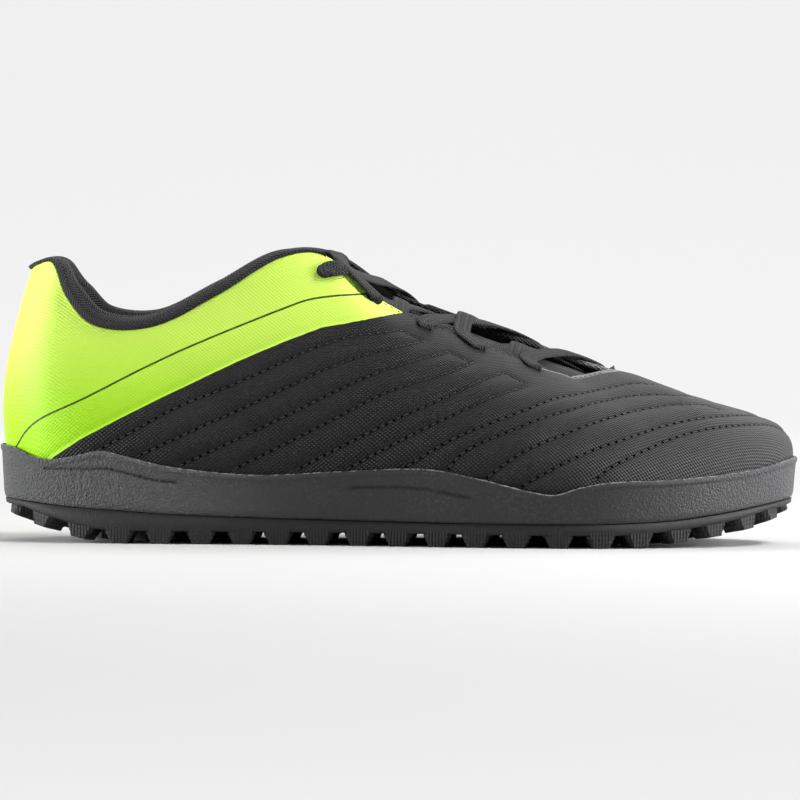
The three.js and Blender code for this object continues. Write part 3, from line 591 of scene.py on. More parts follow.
class MeshParts:
    """Points and faces of one piece, gathered from grids, before Blender's mesh is made."""

    def __init__(self) -> None:
        """Starts empty."""
        self.points: list[Array] = []
        self.uvs: list[Array] = []
        self.faces: list[tuple[int, ...]] = []
        self.slots: list[int] = []
        self.count = 0

    def grid(self, points: Array, uv: Array | None = None, closed: bool = False, slot: int = 0,
             keep: Array | None = None) -> int:
        """Adds a grid of points and the faces between them.

        Args:
            points: rows, columns and three numbers.
            uv: two numbers for each point, in metres.
            closed: whether each row is a loop.
            slot: material slot of the faces.
            keep: which faces to make.

        Returns:
            The number of the grid's first point.
        """
        rows, columns = points.shape[:2]
        start = self.count
        self.points.append(points.reshape(-1, 3))
        self.uvs.append(np.zeros((rows * columns, 2)) if uv is None else uv.reshape(-1, 2))
        self.count += rows * columns
        for r in range(rows - 1):
            for c in range(columns if closed else columns - 1):
                if keep is not None and not keep[r, c]:
                    continue
                d = (c + 1) % columns
                a = start + r * columns
                self.faces.append((a + c, a + d, a + columns + d, a + columns + c))
                self.slots.append(slot)
        return start

    def ladder(self, start: int, count: int, slot: int = 0, flip: bool = False) -> None:
        """Closes a loop of points rung by rung.

        Args:
            start: number of the loop's first point.
            count: points in the loop.
            slot: material slot of the faces.
            flip: whether the faces look the other way.
        """
        for i in range(count // 2):
            a, b = start + i, start + i + 1
            c, d = start + (count - i - 1) % count, start + (count - i) % count
            face = tuple(dict.fromkeys((a, b, c, d)))
            if len(face) > 2:
                self.faces.append(face[::-1] if flip else face)
                self.slots.append(slot)

    def build(self, name: str, materials: list[bpy.types.Material],
              attributes: dict[str, Array] | None = None, recalculate: bool = True) -> bpy.types.Object:
        """Makes the object.

        Args:
            name: the piece's name.
            materials: materials in slot order.
            attributes: a number for each point, by name.
            recalculate: whether the normals are made to point outwards.

        Returns:
            The new object, linked to the scene.
        """
        mesh = bpy.data.meshes.new(name)
        points = np.vstack(self.points) - ORIGIN
        mesh.from_pydata(points.tolist(), [], self.faces)
        for material in materials:
            mesh.materials.append(material)
        mesh.polygons.foreach_set("material_index", self.slots)
        corners = np.empty(len(mesh.loops), dtype=np.int32)
        mesh.loops.foreach_get("vertex_index", corners)
        layer = mesh.uv_layers.new(name="surface")
        layer.data.foreach_set("uv", np.vstack(self.uvs)[corners].astype(np.float32).ravel())
        for key, values in (attributes or {}).items():
            mesh.attributes.new(key, "FLOAT", "POINT").data.foreach_set("value", values.astype(np.float32))
        return tidy_mesh(name, mesh, recalculate)


def tidy_mesh(name: str, mesh: bpy.types.Mesh, recalculate: bool = True) -> bpy.types.Object:
    """Merges a mesh's doubles, turns its faces outwards and links it.

    Args:
        name: the object's name.
        mesh: the mesh.
        recalculate: whether the normals are made to point outwards.

    Returns:
        The new object.
    """
    work = bmesh.new()
    work.from_mesh(mesh)
    bmesh.ops.remove_doubles(work, verts=work.verts, dist=1e-6)
    loose = [vertex for vertex in work.verts if not vertex.link_faces]
    bmesh.ops.delete(work, geom=loose, context="VERTS")
    if recalculate:
        bmesh.ops.recalc_face_normals(work, faces=work.faces)
    for face in work.faces:
        face.smooth = True
    work.to_mesh(mesh)
    work.free()
    return link(name, mesh)


def hand_in(piece: bpy.types.Object, slot: str, *nodes: str) -> None:
    """Ties a piece to the frame and reports it.

    Args:
        piece: the piece.
        slot: a material slot; not used.
        nodes: CAD nodes that it stands for.
    """
    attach(piece, "root")
    if nodes:
        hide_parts(*nodes)
    LOG.info("%s: %d faces", piece.name, len(piece.data.polygons))


class Shader:
    """A node tree, with short calls that add and wire its nodes."""

    def __init__(self, tree: bpy.types.NodeTree) -> None:
        """Keeps the tree."""
        self.tree = tree

    def put(self, socket: bpy.types.NodeSocket, value: object) -> None:
        """Wires a socket, or sets its plain value.

        Args:
            socket: the input.
            value: a socket or a value.
        """
        if isinstance(value, bpy.types.NodeSocket):
            self.tree.links.new(value, socket)
        elif isinstance(value, tuple) and len(value) == 3 and socket.type == "RGBA":
            socket.default_value = (*value, 1.0)
        else:
            socket.default_value = value

    def node(self, kind: str, inputs: dict[str | int, object] | None = None,
             **settings: object) -> bpy.types.Node:
        """Adds a node.

        Args:
            kind: the node's type.
            inputs: values or sockets for its inputs.
            settings: the node's own settings.

        Returns:
            The node.
        """
        node = self.tree.nodes.new(kind)
        for name, value in settings.items():
            setattr(node, name, value)
        for key, value in (inputs or {}).items():
            self.put(node.inputs[key], value)
        return node

    def math(self, operation: str, *values: object) -> bpy.types.NodeSocket:
        """Returns the result of a Math node."""
        node = self.node("ShaderNodeMath", dict(enumerate(values)), operation=operation)
        return node.outputs[0]

    def ramp(self, value: object, low: float, high: float, start: float = 0.0,
             end: float = 1.0) -> bpy.types.NodeSocket:
        """Returns a smooth ramp of a value from start at low to end at high."""
        inputs = {"Value": value, "From Min": low, "From Max": high, "To Min": start, "To Max": end}
        return self.node("ShaderNodeMapRange", inputs, interpolation_type="SMOOTHSTEP").outputs[0]

    def mix(self, factor: object, a: object, b: object) -> bpy.types.NodeSocket:
        """Returns a mix of two colours."""
        return self.node("ShaderNodeMix", {0: factor, 6: a, 7: b}, data_type="RGBA").outputs[2]

    def attribute(self, name: str) -> bpy.types.NodeSocket:
        """Returns one of the mesh's own numbers."""
        return self.node("ShaderNodeAttribute", attribute_name=name).outputs["Fac"]

    def group(self, effect: "Effect", **inputs: object) -> bpy.types.Node:
        """Adds a shared effect's group with its own values.

        Args:
            effect: which effect.
            inputs: its inputs by lower-case name.

        Returns:
            The group's node.
        """
        node = self.tree.nodes.new("ShaderNodeGroup")
        node.node_tree = EFFECTS[effect]
        for name, value in inputs.items():
            self.put(node.inputs[name.capitalize()], value)
        return node


class Effect(Enum):
    """Shared surface effects."""

    TWILL = "twill_emboss"
    GRAIN = "moulded_grain"
    BRAID = "braided_weave"
    DUST = "fine_dust"


EFFECTS: dict[Effect, bpy.types.NodeTree] = {}


def new_group(effect: Effect, inputs: dict[str, tuple[str, object]], outputs: tuple[str, ...]
              ) -> tuple[Shader, bpy.types.Node, bpy.types.Node]:
    """Starts a shared effect's node group.

    Args:
        effect: which effect.
        inputs: socket type and first value by name.
        outputs: names of the outputs, all plain numbers.

    Returns:
        The tree's shader, its input node and its output node.
    """
    tree = bpy.data.node_groups.new(effect.value, "ShaderNodeTree")
    for name, (kind, value) in inputs.items():
        socket = tree.interface.new_socket(name, in_out="INPUT", socket_type=kind)
        if value is not None:
            socket.default_value = value
    for name in outputs:
        tree.interface.new_socket(name, in_out="OUTPUT", socket_type="NodeSocketFloat")
    EFFECTS[effect] = tree
    return Shader(tree), tree.nodes.new("NodeGroupInput"), tree.nodes.new("NodeGroupOutput")


def make_twill() -> None:
    """Fine diagonal emboss of a coated synthetic, crossed by a second diagonal."""
    inputs = {"Place": ("NodeSocketVector", None), "Pitch": ("NodeSocketFloat", 0.8 * MM)}
    shader, start, end = new_group(Effect.TWILL, inputs, ("Height",))
    turns = shader.math("DIVIDE", math.tau, start.outputs["Pitch"])
    wander = shader.node("ShaderNodeTexNoise", {"Vector": start.outputs["Place"], "Scale": 420.0})
    waves = []
    for lean in ((0.72, 0.7, 0.69), (0.55, -0.6, -0.83)):
        run = shader.node("ShaderNodeVectorMath", {0: start.outputs["Place"], 1: lean},
                          operation="DOT_PRODUCT").outputs["Value"]
        angle = shader.math("MULTIPLY_ADD", run, turns, shader.math("MULTIPLY", wander.outputs[0], 2.2))
        waves.append(shader.math("SINE", angle))
    height = shader.math("MULTIPLY_ADD", waves[0], 0.28, 0.5)
    shader.put(end.inputs["Height"], shader.math("MULTIPLY_ADD", waves[1], 0.28, height))


def make_grain() -> None:
    """Spark-eroded grain of a rubber mould, with painted glints on its high points."""
    inputs = {"Place": ("NodeSocketVector", None), "Size": ("NodeSocketFloat", 0.5 * MM)}
    shader, start, end = new_group(Effect.GRAIN, inputs, ("Height", "Glint"))
    scale = shader.math("DIVIDE", 1.0, start.outputs["Size"])
    cells = shader.node("ShaderNodeTexVoronoi", {"Vector": start.outputs["Place"], "Scale": scale})
    cloud = shader.node("ShaderNodeTexNoise", {
        "Vector": start.outputs["Place"], "Scale": shader.math("MULTIPLY", scale, 0.7),
        "Detail": 3.0, "Roughness": 0.65})
    height = shader.math("MULTIPLY_ADD", cells.outputs["Distance"], -0.5, cloud.outputs[0])
    shader.put(end.inputs["Height"], height)
    shader.put(end.inputs["Glint"], shader.ramp(height, 0.42, 0.66))


def make_braid() -> None:
    """Ribs that run across a band, slanted to and fro in columns, as on laces and knitted edging."""
    inputs = {"Along": ("NodeSocketFloat", 0.0), "Across": ("NodeSocketFloat", 0.0),
              "Pitch": ("NodeSocketFloat", 1.2 * MM), "Slant": ("NodeSocketFloat", 0.6),
              "Columns": ("NodeSocketFloat", 1.2 * MM), "Depth": ("NodeSocketFloat", 0.35)}
    shader, start, end = new_group(Effect.BRAID, inputs, ("Height",))
    side = shader.math("ABSOLUTE", start.outputs["Across"])
    lean = shader.math("PINGPONG", side, start.outputs["Columns"])
    run = shader.math("MULTIPLY_ADD", lean, start.outputs["Slant"], start.outputs["Along"])
    turns = shader.math("DIVIDE", math.pi, start.outputs["Pitch"])
    rib = shader.math("ABSOLUTE", shader.math("SINE", shader.math("MULTIPLY", run, turns)))
    columns = shader.math("DIVIDE", math.pi, start.outputs["Columns"])
    thread = shader.math("ABSOLUTE", shader.math("SINE", shader.math("MULTIPLY", side, columns)))
    deep = shader.math("MULTIPLY_ADD", thread, start.outputs["Depth"], rib)
    shader.put(end.inputs["Height"], deep)


def make_dust() -> None:
    """Fine dust and handling marks in soft patches."""
    inputs = {"Place": ("NodeSocketVector", None), "Amount": ("NodeSocketFloat", 0.3)}
    shader, start, end = new_group(Effect.DUST, inputs, ("Mask",))
    patches = shader.node("ShaderNodeTexNoise", {"Vector": start.outputs["Place"], "Scale": 28.0,
                                                 "Detail": 4.0})
    specks = shader.node("ShaderNodeTexNoise", {"Vector": start.outputs["Place"], "Scale": 900.0,
                                                "Detail": 2.0})
    both = shader.math("MULTIPLY", shader.ramp(patches.outputs[0], 0.4, 0.75),
                       shader.ramp(specks.outputs[0], 0.45, 0.7))
    shader.put(end.inputs["Mask"], shader.math("MULTIPLY", both, start.outputs["Amount"]))


def new_material(name: str) -> tuple[bpy.types.Material, Shader, bpy.types.Node, bpy.types.NodeSocket]:
    """Starts a material.

    Args:
        name: its name.

    Returns:
        The material, its shader, its Principled node and the place on the object.
    """
    material = bpy.data.materials.new(name)
    material.use_nodes = True
    shader = Shader(material.node_tree)
    place = shader.node("ShaderNodeTexCoord").outputs["Object"]
    return material, shader, material.node_tree.nodes["Principled BSDF"], place


def add_bump(shader: Shader, surface: bpy.types.Node, height: object, depth: float) -> None:
    """Wires a height to the surface's normal, with its depth in metres."""
    bump = shader.node("ShaderNodeBump", {"Height": height, "Distance": depth, "Strength": 1.0})
    shader.put(surface.inputs["Normal"], bump.outputs[0])


@dataclass(frozen=True)
class SyntheticFinish:
    """Coated synthetic of the upper: lime heel and eyestay, black quilted forepart."""

    # The lime is ramped by height from a darker green low down, which is painted shade, to a paler green
    # high up, which is painted light.
    lime: Colour = (0.62, 0.88, 0.12)
    lime_shaded: Colour = (0.33, 0.68, 0.003)
    black: Colour = (0.0065, 0.0066, 0.007)
    # Painted light: the black grows paler towards the toe, as if lit there.
    toe_painted_light: Colour = (0.07, 0.07, 0.072)
    ink: Colour = (0.016, 0.03, 0.008)
    # Near-black painted shade for the emboss's pits.
    emboss_shade: Colour = (0.004, 0.004, 0.0045)
    seam_shade: Colour = (0.006, 0.006, 0.006)
    dust: Colour = (0.09, 0.09, 0.09)
    textile: Colour = (0.19, 0.195, 0.20)
    emboss: float = 1.05 * MM
    emboss_depth: float = 0.34 * MM
    # Heights over which the lime's painted shade turns into painted light.
    shade_to_light_heights: tuple[float, float] = (35 * MM, 85 * MM)
    # Places along the length over which the painted light on the black rises towards the toe.
    toe_painted_light_places: tuple[float, float] = (20 * MM, 130 * MM)

    def material(self) -> bpy.types.Material:
        """Makes the finish's material.

        Returns:
            The material.
        """
        material, shader, surface, place = new_material("upper_synthetic")
        panel = shader.ramp(shader.attribute("panel"), -0.12 * MM, 0.12 * MM)
        seam = shader.ramp(shader.attribute("seam"), 0.3 * MM, 1.2 * MM, 1.0, 0.0)
        edge = shader.ramp(shader.attribute("edge"), 3.8 * MM, 4.1 * MM, 1.0, 0.0)
        line = shader.math("ABSOLUTE", shader.attribute("print_line"))
        ink = shader.ramp(line, 0.26 * MM, 0.42 * MM, 1.0, 0.0)
        axes = shader.node("ShaderNodeSeparateXYZ", {0: place})
        # Painted shade low down and painted light high up on the lime.
        lime = shader.mix(shader.ramp(axes.outputs["Z"], *self.shade_to_light_heights), self.lime_shaded, self.lime)
        lime = shader.mix(ink, lime, self.ink)
        twill = shader.group(Effect.TWILL, place=place, pitch=self.emboss)
        low = shader.ramp(twill.outputs["Height"], 0.2, 0.7, 1.0, 0.0)
        # Painted shade in the emboss's pits on the lime.
        lime = shader.mix(shader.math("MULTIPLY", low, 0.15), lime, self.lime_shaded)
        dust = shader.group(Effect.DUST, place=place, amount=0.1)
        # Painted light on the black towards the toe.
        forward = shader.ramp(axes.outputs["X"], *self.toe_painted_light_places)
        black = shader.mix(forward, self.black, self.toe_painted_light)
        # Painted shade in the emboss's pits on the black.
        black = shader.mix(low, black, self.emboss_shade)
        black = shader.mix(dust.outputs["Mask"], black, self.dust)
        black = shader.mix(shader.math("MULTIPLY", seam, 0.5), black, self.seam_shade)
        colour = shader.mix(panel, lime, black)
        strip = shader.math("MULTIPLY", edge, shader.attribute("textile"))
        shader.put(surface.inputs["Base Color"], shader.mix(strip, colour, self.textile))
        rough = shader.math("MULTIPLY_ADD", panel, 0.05, 0.38)
        rough = shader.math("MULTIPLY_ADD", low, 0.2, rough)
        shader.put(surface.inputs["Roughness"], shader.math("MULTIPLY_ADD", seam, 0.2, rough))
        surface.inputs["Specular IOR Level"].default_value = 0.24
        relief = shader.math("MULTIPLY", twill.outputs["Height"], shader.ramp(panel, 0.0, 1.0, 0.4, 1.0))
        add_bump(shader, surface, relief, self.emboss_depth)
        return material


@dataclass(frozen=True)
class FabricFinish:
    """Woven or knitted textile on a piece's own surface map."""

    name: str
    colour: Colour
    # Colour of the weave's raised ribs: a painted highlight on them and painted shade in the hollows, with
    # some random tone from the fuzz.
    light: Colour
    pitch: float
    slant: float
    depth: float
    columns: float = 1.2 * MM
    column_depth: float = 0.35
    dust: Colour = (0.12, 0.12, 0.12)

    def material(self) -> bpy.types.Material:
        """Makes the finish's material.

        Returns:
            The material.
        """
        material, shader, surface, place = new_material(self.name)
        uv = shader.node("ShaderNodeUVMap", uv_map="surface").outputs[0]
        axes = shader.node("ShaderNodeSeparateXYZ", {0: uv})
        braid = shader.group(Effect.BRAID, along=axes.outputs["X"], across=axes.outputs["Y"],
                             pitch=self.pitch, slant=self.slant, columns=self.columns,
                             depth=self.column_depth)
        fuzz = shader.node("ShaderNodeTexNoise", {"Vector": place, "Scale": 1500.0, "Detail": 2.0})
        height = shader.math("MULTIPLY_ADD", fuzz.outputs[0], 0.5, braid.outputs["Height"])
        # Raised ribs paler and hollows darker: painted highlight and painted shade, mixed with random fuzz
        # tone.
        colour = shader.mix(shader.ramp(height, 0.5, 1.35), self.colour, self.light)
        dust = shader.group(Effect.DUST, place=place, amount=0.12)
        shader.put(surface.inputs["Base Color"], shader.mix(dust.outputs["Mask"], colour, self.dust))
        shader.put(surface.inputs["Roughness"], shader.ramp(height, 0.3, 1.5, 0.95, 0.7))
        surface.inputs["Specular IOR Level"].default_value = 0.25
        surface.inputs["Sheen Weight"].default_value = 0.06
        surface.inputs["Sheen Roughness"].default_value = 0.4
        add_bump(shader, surface, height, self.depth)
        return material


@dataclass(frozen=True)
class RubberFinish:
    """Moulded rubber with a spark-eroded grain, rougher towards the shoe's ends, where painted light makes
    it paler and puts painted glints on the grain's high points.

    A mesh may give it a "rim" number: above 0 where bright specks lie, below 0 down in a groove, where
    painted shade darkens it.
    """

    name: str
    colour: Colour
    grain: float
    depth: float
    roughness: float
    flutes: float = 0.0
    # Amount of painted light: paler ends and painted glints on the grain.
    painted_light: float = 0.3
    lit_ends_middle: float = 30 * MM
    lit_ends_places: tuple[float, float] = (45 * MM, 135 * MM)
    lit_ends_gain: float = 3.4
    # How much paler the flecks are: painted glints on the grain, real dust and the specks along the rim.
    fleck_gain: float = 11
    # Painted shade down in the grooves.
    groove_shade: Colour = (0.003, 0.003, 0.003)

    def material(self) -> bpy.types.Material:
        """Makes the finish's material.

        Returns:
            The material.
        """
        material, shader, surface, place = new_material(self.name)
        grain = shader.group(Effect.GRAIN, place=place, size=self.grain)
        dust = shader.group(Effect.DUST, place=place, amount=0.1)
        axes = shader.node("ShaderNodeSeparateXYZ", {0: place})
        # Painted light: the rubber grows paler towards the heel and the toe.
        middle = shader.math("SUBTRACT", axes.outputs["X"], self.lit_ends_middle)
        ends = shader.ramp(shader.math("ABSOLUTE", middle), *self.lit_ends_places)
        strong = shader.ramp(ends, 0.0, 1.0, 0.2, 1.0)
        # Painted glints on the grain's high points, stronger towards the ends, plus real dust specks.
        fleck = shader.math("MULTIPLY", grain.outputs["Glint"], strong)
        fleck = shader.math("MULTIPLY_ADD", fleck, self.painted_light, dust.outputs["Mask"])
        specks = shader.node("ShaderNodeTexNoise", {"Vector": place, "Scale": 700.0, "Detail": 2.0})
        rim = shader.attribute("rim")
        specks = shader.math("MULTIPLY", shader.ramp(specks.outputs[0], 0.42, 0.6), shader.ramp(rim, 0, 1))
        fleck = shader.math("ADD", fleck, specks)
        # Paler ends: painted light.
        plain = shader.mix(shader.math("MULTIPLY", ends, self.painted_light), self.colour,
                           tuple(self.lit_ends_gain * part for part in self.colour))
        # Painted shade down in the grooves.
        plain = shader.mix(shader.ramp(rim, -0.9, -0.3, 0.8, 0.0), plain, self.groove_shade)
        light = tuple(self.fleck_gain * part for part in self.colour)
        shader.put(surface.inputs["Base Color"], shader.mix(fleck, plain, light))
        shader.put(surface.inputs["Roughness"], shader.ramp(grain.outputs["Height"], 0.1, 0.7,
                                                            self.roughness + 0.12, self.roughness - 0.1))
        surface.inputs["Specular IOR Level"].default_value = 0.4
        height = shader.math("MULTIPLY", grain.outputs["Height"], strong)
        if self.flutes:
            run = shader.math("MULTIPLY", axes.outputs["X"], math.tau / self.flutes)
            height = shader.math("MULTIPLY_ADD", shader.math("SINE", run), 0.35, height)
        add_bump(shader, surface, height, self.depth)
        return material


@dataclass(frozen=True)
class ThreadFinish:
    """Twisted sewing thread; its finish also colours the dark balls that stand in as painted shade for the
    stitch holes.
    """

    name: str
    colour: Colour
    shine: float = 0.5
    depth: float = 0.08 * MM

    def material(self) -> bpy.types.Material:
        """Makes the finish's material.

        Returns:
            The material.
        """
        material, shader, surface, place = new_material(self.name)
        surface.inputs["Specular IOR Level"].default_value = self.shine
        twist = shader.node("ShaderNodeTexNoise", {"Vector": place, "Scale": 2600.0, "Detail": 1.0})
        light = tuple(3 * part for part in self.colour)
        shader.put(surface.inputs["Base Color"], shader.mix(twist.outputs[0], self.colour, light))
        shader.put(surface.inputs["Roughness"], shader.ramp(twist.outputs[0], 0.2, 0.8, 0.7, 0.45))
        add_bump(shader, surface, twist.outputs[0], self.depth)
        return material


class Nodes:
    """A Geometry Nodes tree with named inputs, and the modifier that runs it."""

    def __init__(self, name: str) -> None:
        """Starts the tree with its geometry sockets.

        Args:
            name: the tree's name.
        """
        self.tree = bpy.data.node_groups.new(name, "GeometryNodeTree")
        self.tree.interface.new_socket("Geometry", in_out="INPUT", socket_type="NodeSocketGeometry")
        self.tree.interface.new_socket("Geometry", in_out="OUTPUT", socket_type="NodeSocketGeometry")
        self.shader = Shader(self.tree)
        self.names: dict[str, str] = {}
        self.start: bpy.types.Node | None = None

    def inputs(self, **kinds: str) -> bpy.types.Node:
        """Adds the named inputs.

        Args:
            kinds: socket type by name.

        Returns:
            The tree's input node.
        """
        for name, kind in kinds.items():
            socket = self.tree.interface.new_socket(name, in_out="INPUT", socket_type=kind)
            self.names[name] = socket.identifier
        self.start = self.tree.nodes.new("NodeGroupInput")
        return self.start

    def close(self, instances: bpy.types.NodeSocket) -> None:
        """Ends the tree: real geometry, smooth, with its material.

        Args:
            instances: what it has set.
        """
        real = self.shader.node("GeometryNodeRealizeInstances", {0: instances})
        smooth = self.shader.node("GeometryNodeSetShadeSmooth", {0: real.outputs[0]})
        dressed = self.shader.node("GeometryNodeSetMaterial", {
            "Geometry": smooth.outputs[0], "Material": self.start.outputs["material"]})
        end = self.tree.nodes.new("NodeGroupOutput")
        self.tree.links.new(dressed.outputs[0], end.inputs[0])

    def run(self, name: str, carrier: bpy.types.Object, **values: object) -> bpy.types.Object:
        """Runs the tree on a carrier, and makes the result a plain piece.

        Args:
            name: the new piece's name.
            carrier: object whose mesh the tree reads, which is deleted.
            values: the named inputs.

        Returns:
            The piece.
        """
        modifier = carrier.modifiers.new("nodes", "NODES")
        modifier.node_group = self.tree
        for key, value in values.items():
            modifier[self.names[key]] = value
        graph = bpy.context.evaluated_depsgraph_get()
        mesh = bpy.data.meshes.new_from_object(carrier.evaluated_get(graph), depsgraph=graph)
        carrier.modifiers.remove(modifier)
        bpy.data.objects.remove(carrier)
        mesh.name = name
        return link(name, mesh)


def stitch_nodes() -> Nodes:
    """Builds the tree that sets thread stitches along lines.

    Returns:
        The tree.
    """
    nodes = Nodes("stitches_on_a_line")
    shader = nodes.shader
    start = nodes.inputs(pitch="NodeSocketFloat", stitch="NodeSocketFloat", thread="NodeSocketFloat",
                         height="NodeSocketFloat", material="NodeSocketMaterial")
    curve = shader.node("GeometryNodeMeshToCurve", {0: start.outputs[0]})
    spaced = shader.node("GeometryNodeResampleCurve", mode="LENGTH")
    shader.put(spaced.inputs["Curve"], curve.outputs[0])
    shader.put(spaced.inputs["Length"], start.outputs["pitch"])
    ball = shader.node("GeometryNodeMeshUVSphere", {"Segments": 6, "Rings": 6, "Radius": 0.5})
    size = shader.node("ShaderNodeCombineXYZ", {0: start.outputs["stitch"], 1: start.outputs["thread"],
                                                2: start.outputs["height"]})
    shape = shader.node("GeometryNodeTransform", {"Geometry": ball.outputs[0], "Scale": size.outputs[0]})
    tangent = shader.node("GeometryNodeInputTangent")
    out = shader.node("GeometryNodeInputNamedAttribute", {"Name": "out"}, data_type="FLOAT_VECTOR")
    along = shader.node("FunctionNodeAlignRotationToVector", {"Vector": tangent.outputs[0]}, axis="X")
    upright = shader.node("FunctionNodeAlignRotationToVector", {
        "Rotation": along.outputs[0], "Vector": out.outputs[0]}, axis="Z", pivot_axis="X")
    instances = shader.node("GeometryNodeInstanceOnPoints", {
        "Points": spaced.outputs[0], "Instance": shape.outputs[0], "Rotation": upright.outputs[0]})
    nodes.close(instances.outputs[0])
    return nodes


def lug_nodes() -> Nodes:
    """Builds the tree that sets lugs on points, each with its own turn and size.

    Returns:
        The tree.
    """
    nodes = Nodes("lugs_on_points")
    shader = nodes.shader
    start = nodes.inputs(lug="NodeSocketObject", material="NodeSocketMaterial")
    points = shader.node("GeometryNodeMeshToPoints", {0: start.outputs[0]})
    lug = shader.node("GeometryNodeObjectInfo", {"Object": start.outputs["lug"]})
    turn = shader.node("GeometryNodeInputNamedAttribute", {"Name": "turn"}, data_type="FLOAT_VECTOR")
    size = shader.node("GeometryNodeInputNamedAttribute", {"Name": "size"}, data_type="FLOAT_VECTOR")
    rotation = shader.node("FunctionNodeEulerToRotation", {0: turn.outputs[0]})
    instances = shader.node("GeometryNodeInstanceOnPoints", {
        "Points": points.outputs[0], "Instance": lug.outputs["Geometry"],
        "Rotation": rotation.outputs[0], "Scale": size.outputs[0]})
    nodes.close(instances.outputs[0])
    return nodes


def line_carrier(lines: list[tuple[Array, Array]]) -> bpy.types.Object:
    """Makes an object of bent lines with the way out at each point.

    Args:
        lines: points and outward vectors of each line.

    Returns:
        The object.
    """
    points: list[list[float]] = []
    edges: list[tuple[int, int]] = []
    for line, _ in lines:
        first = len(points)
        points.extend((line - ORIGIN).tolist())
        edges.extend((first + i, first + i + 1) for i in range(len(line) - 1))
    mesh = bpy.data.meshes.new("lines")
    mesh.from_pydata(points, edges, [])
    out = np.vstack([vectors for _, vectors in lines]).astype(np.float32)
    mesh.attributes.new("out", "FLOAT_VECTOR", "POINT").data.foreach_set("vector", out.ravel())
    return link("lines", mesh)


def equal_steps(line: Array, step: float) -> Array:
    """Sets a line's points again, at equal steps.

    Args:
        line: its points.
        step: the length of a step.

    Returns:
        The new points.
    """
    runs = walked(line)
    places = np.linspace(0, runs[-1], max(int(runs[-1] / step), 2))
    return np.stack([np.interp(places, runs, line[:, k]) for k in range(line.shape[1])], 1)


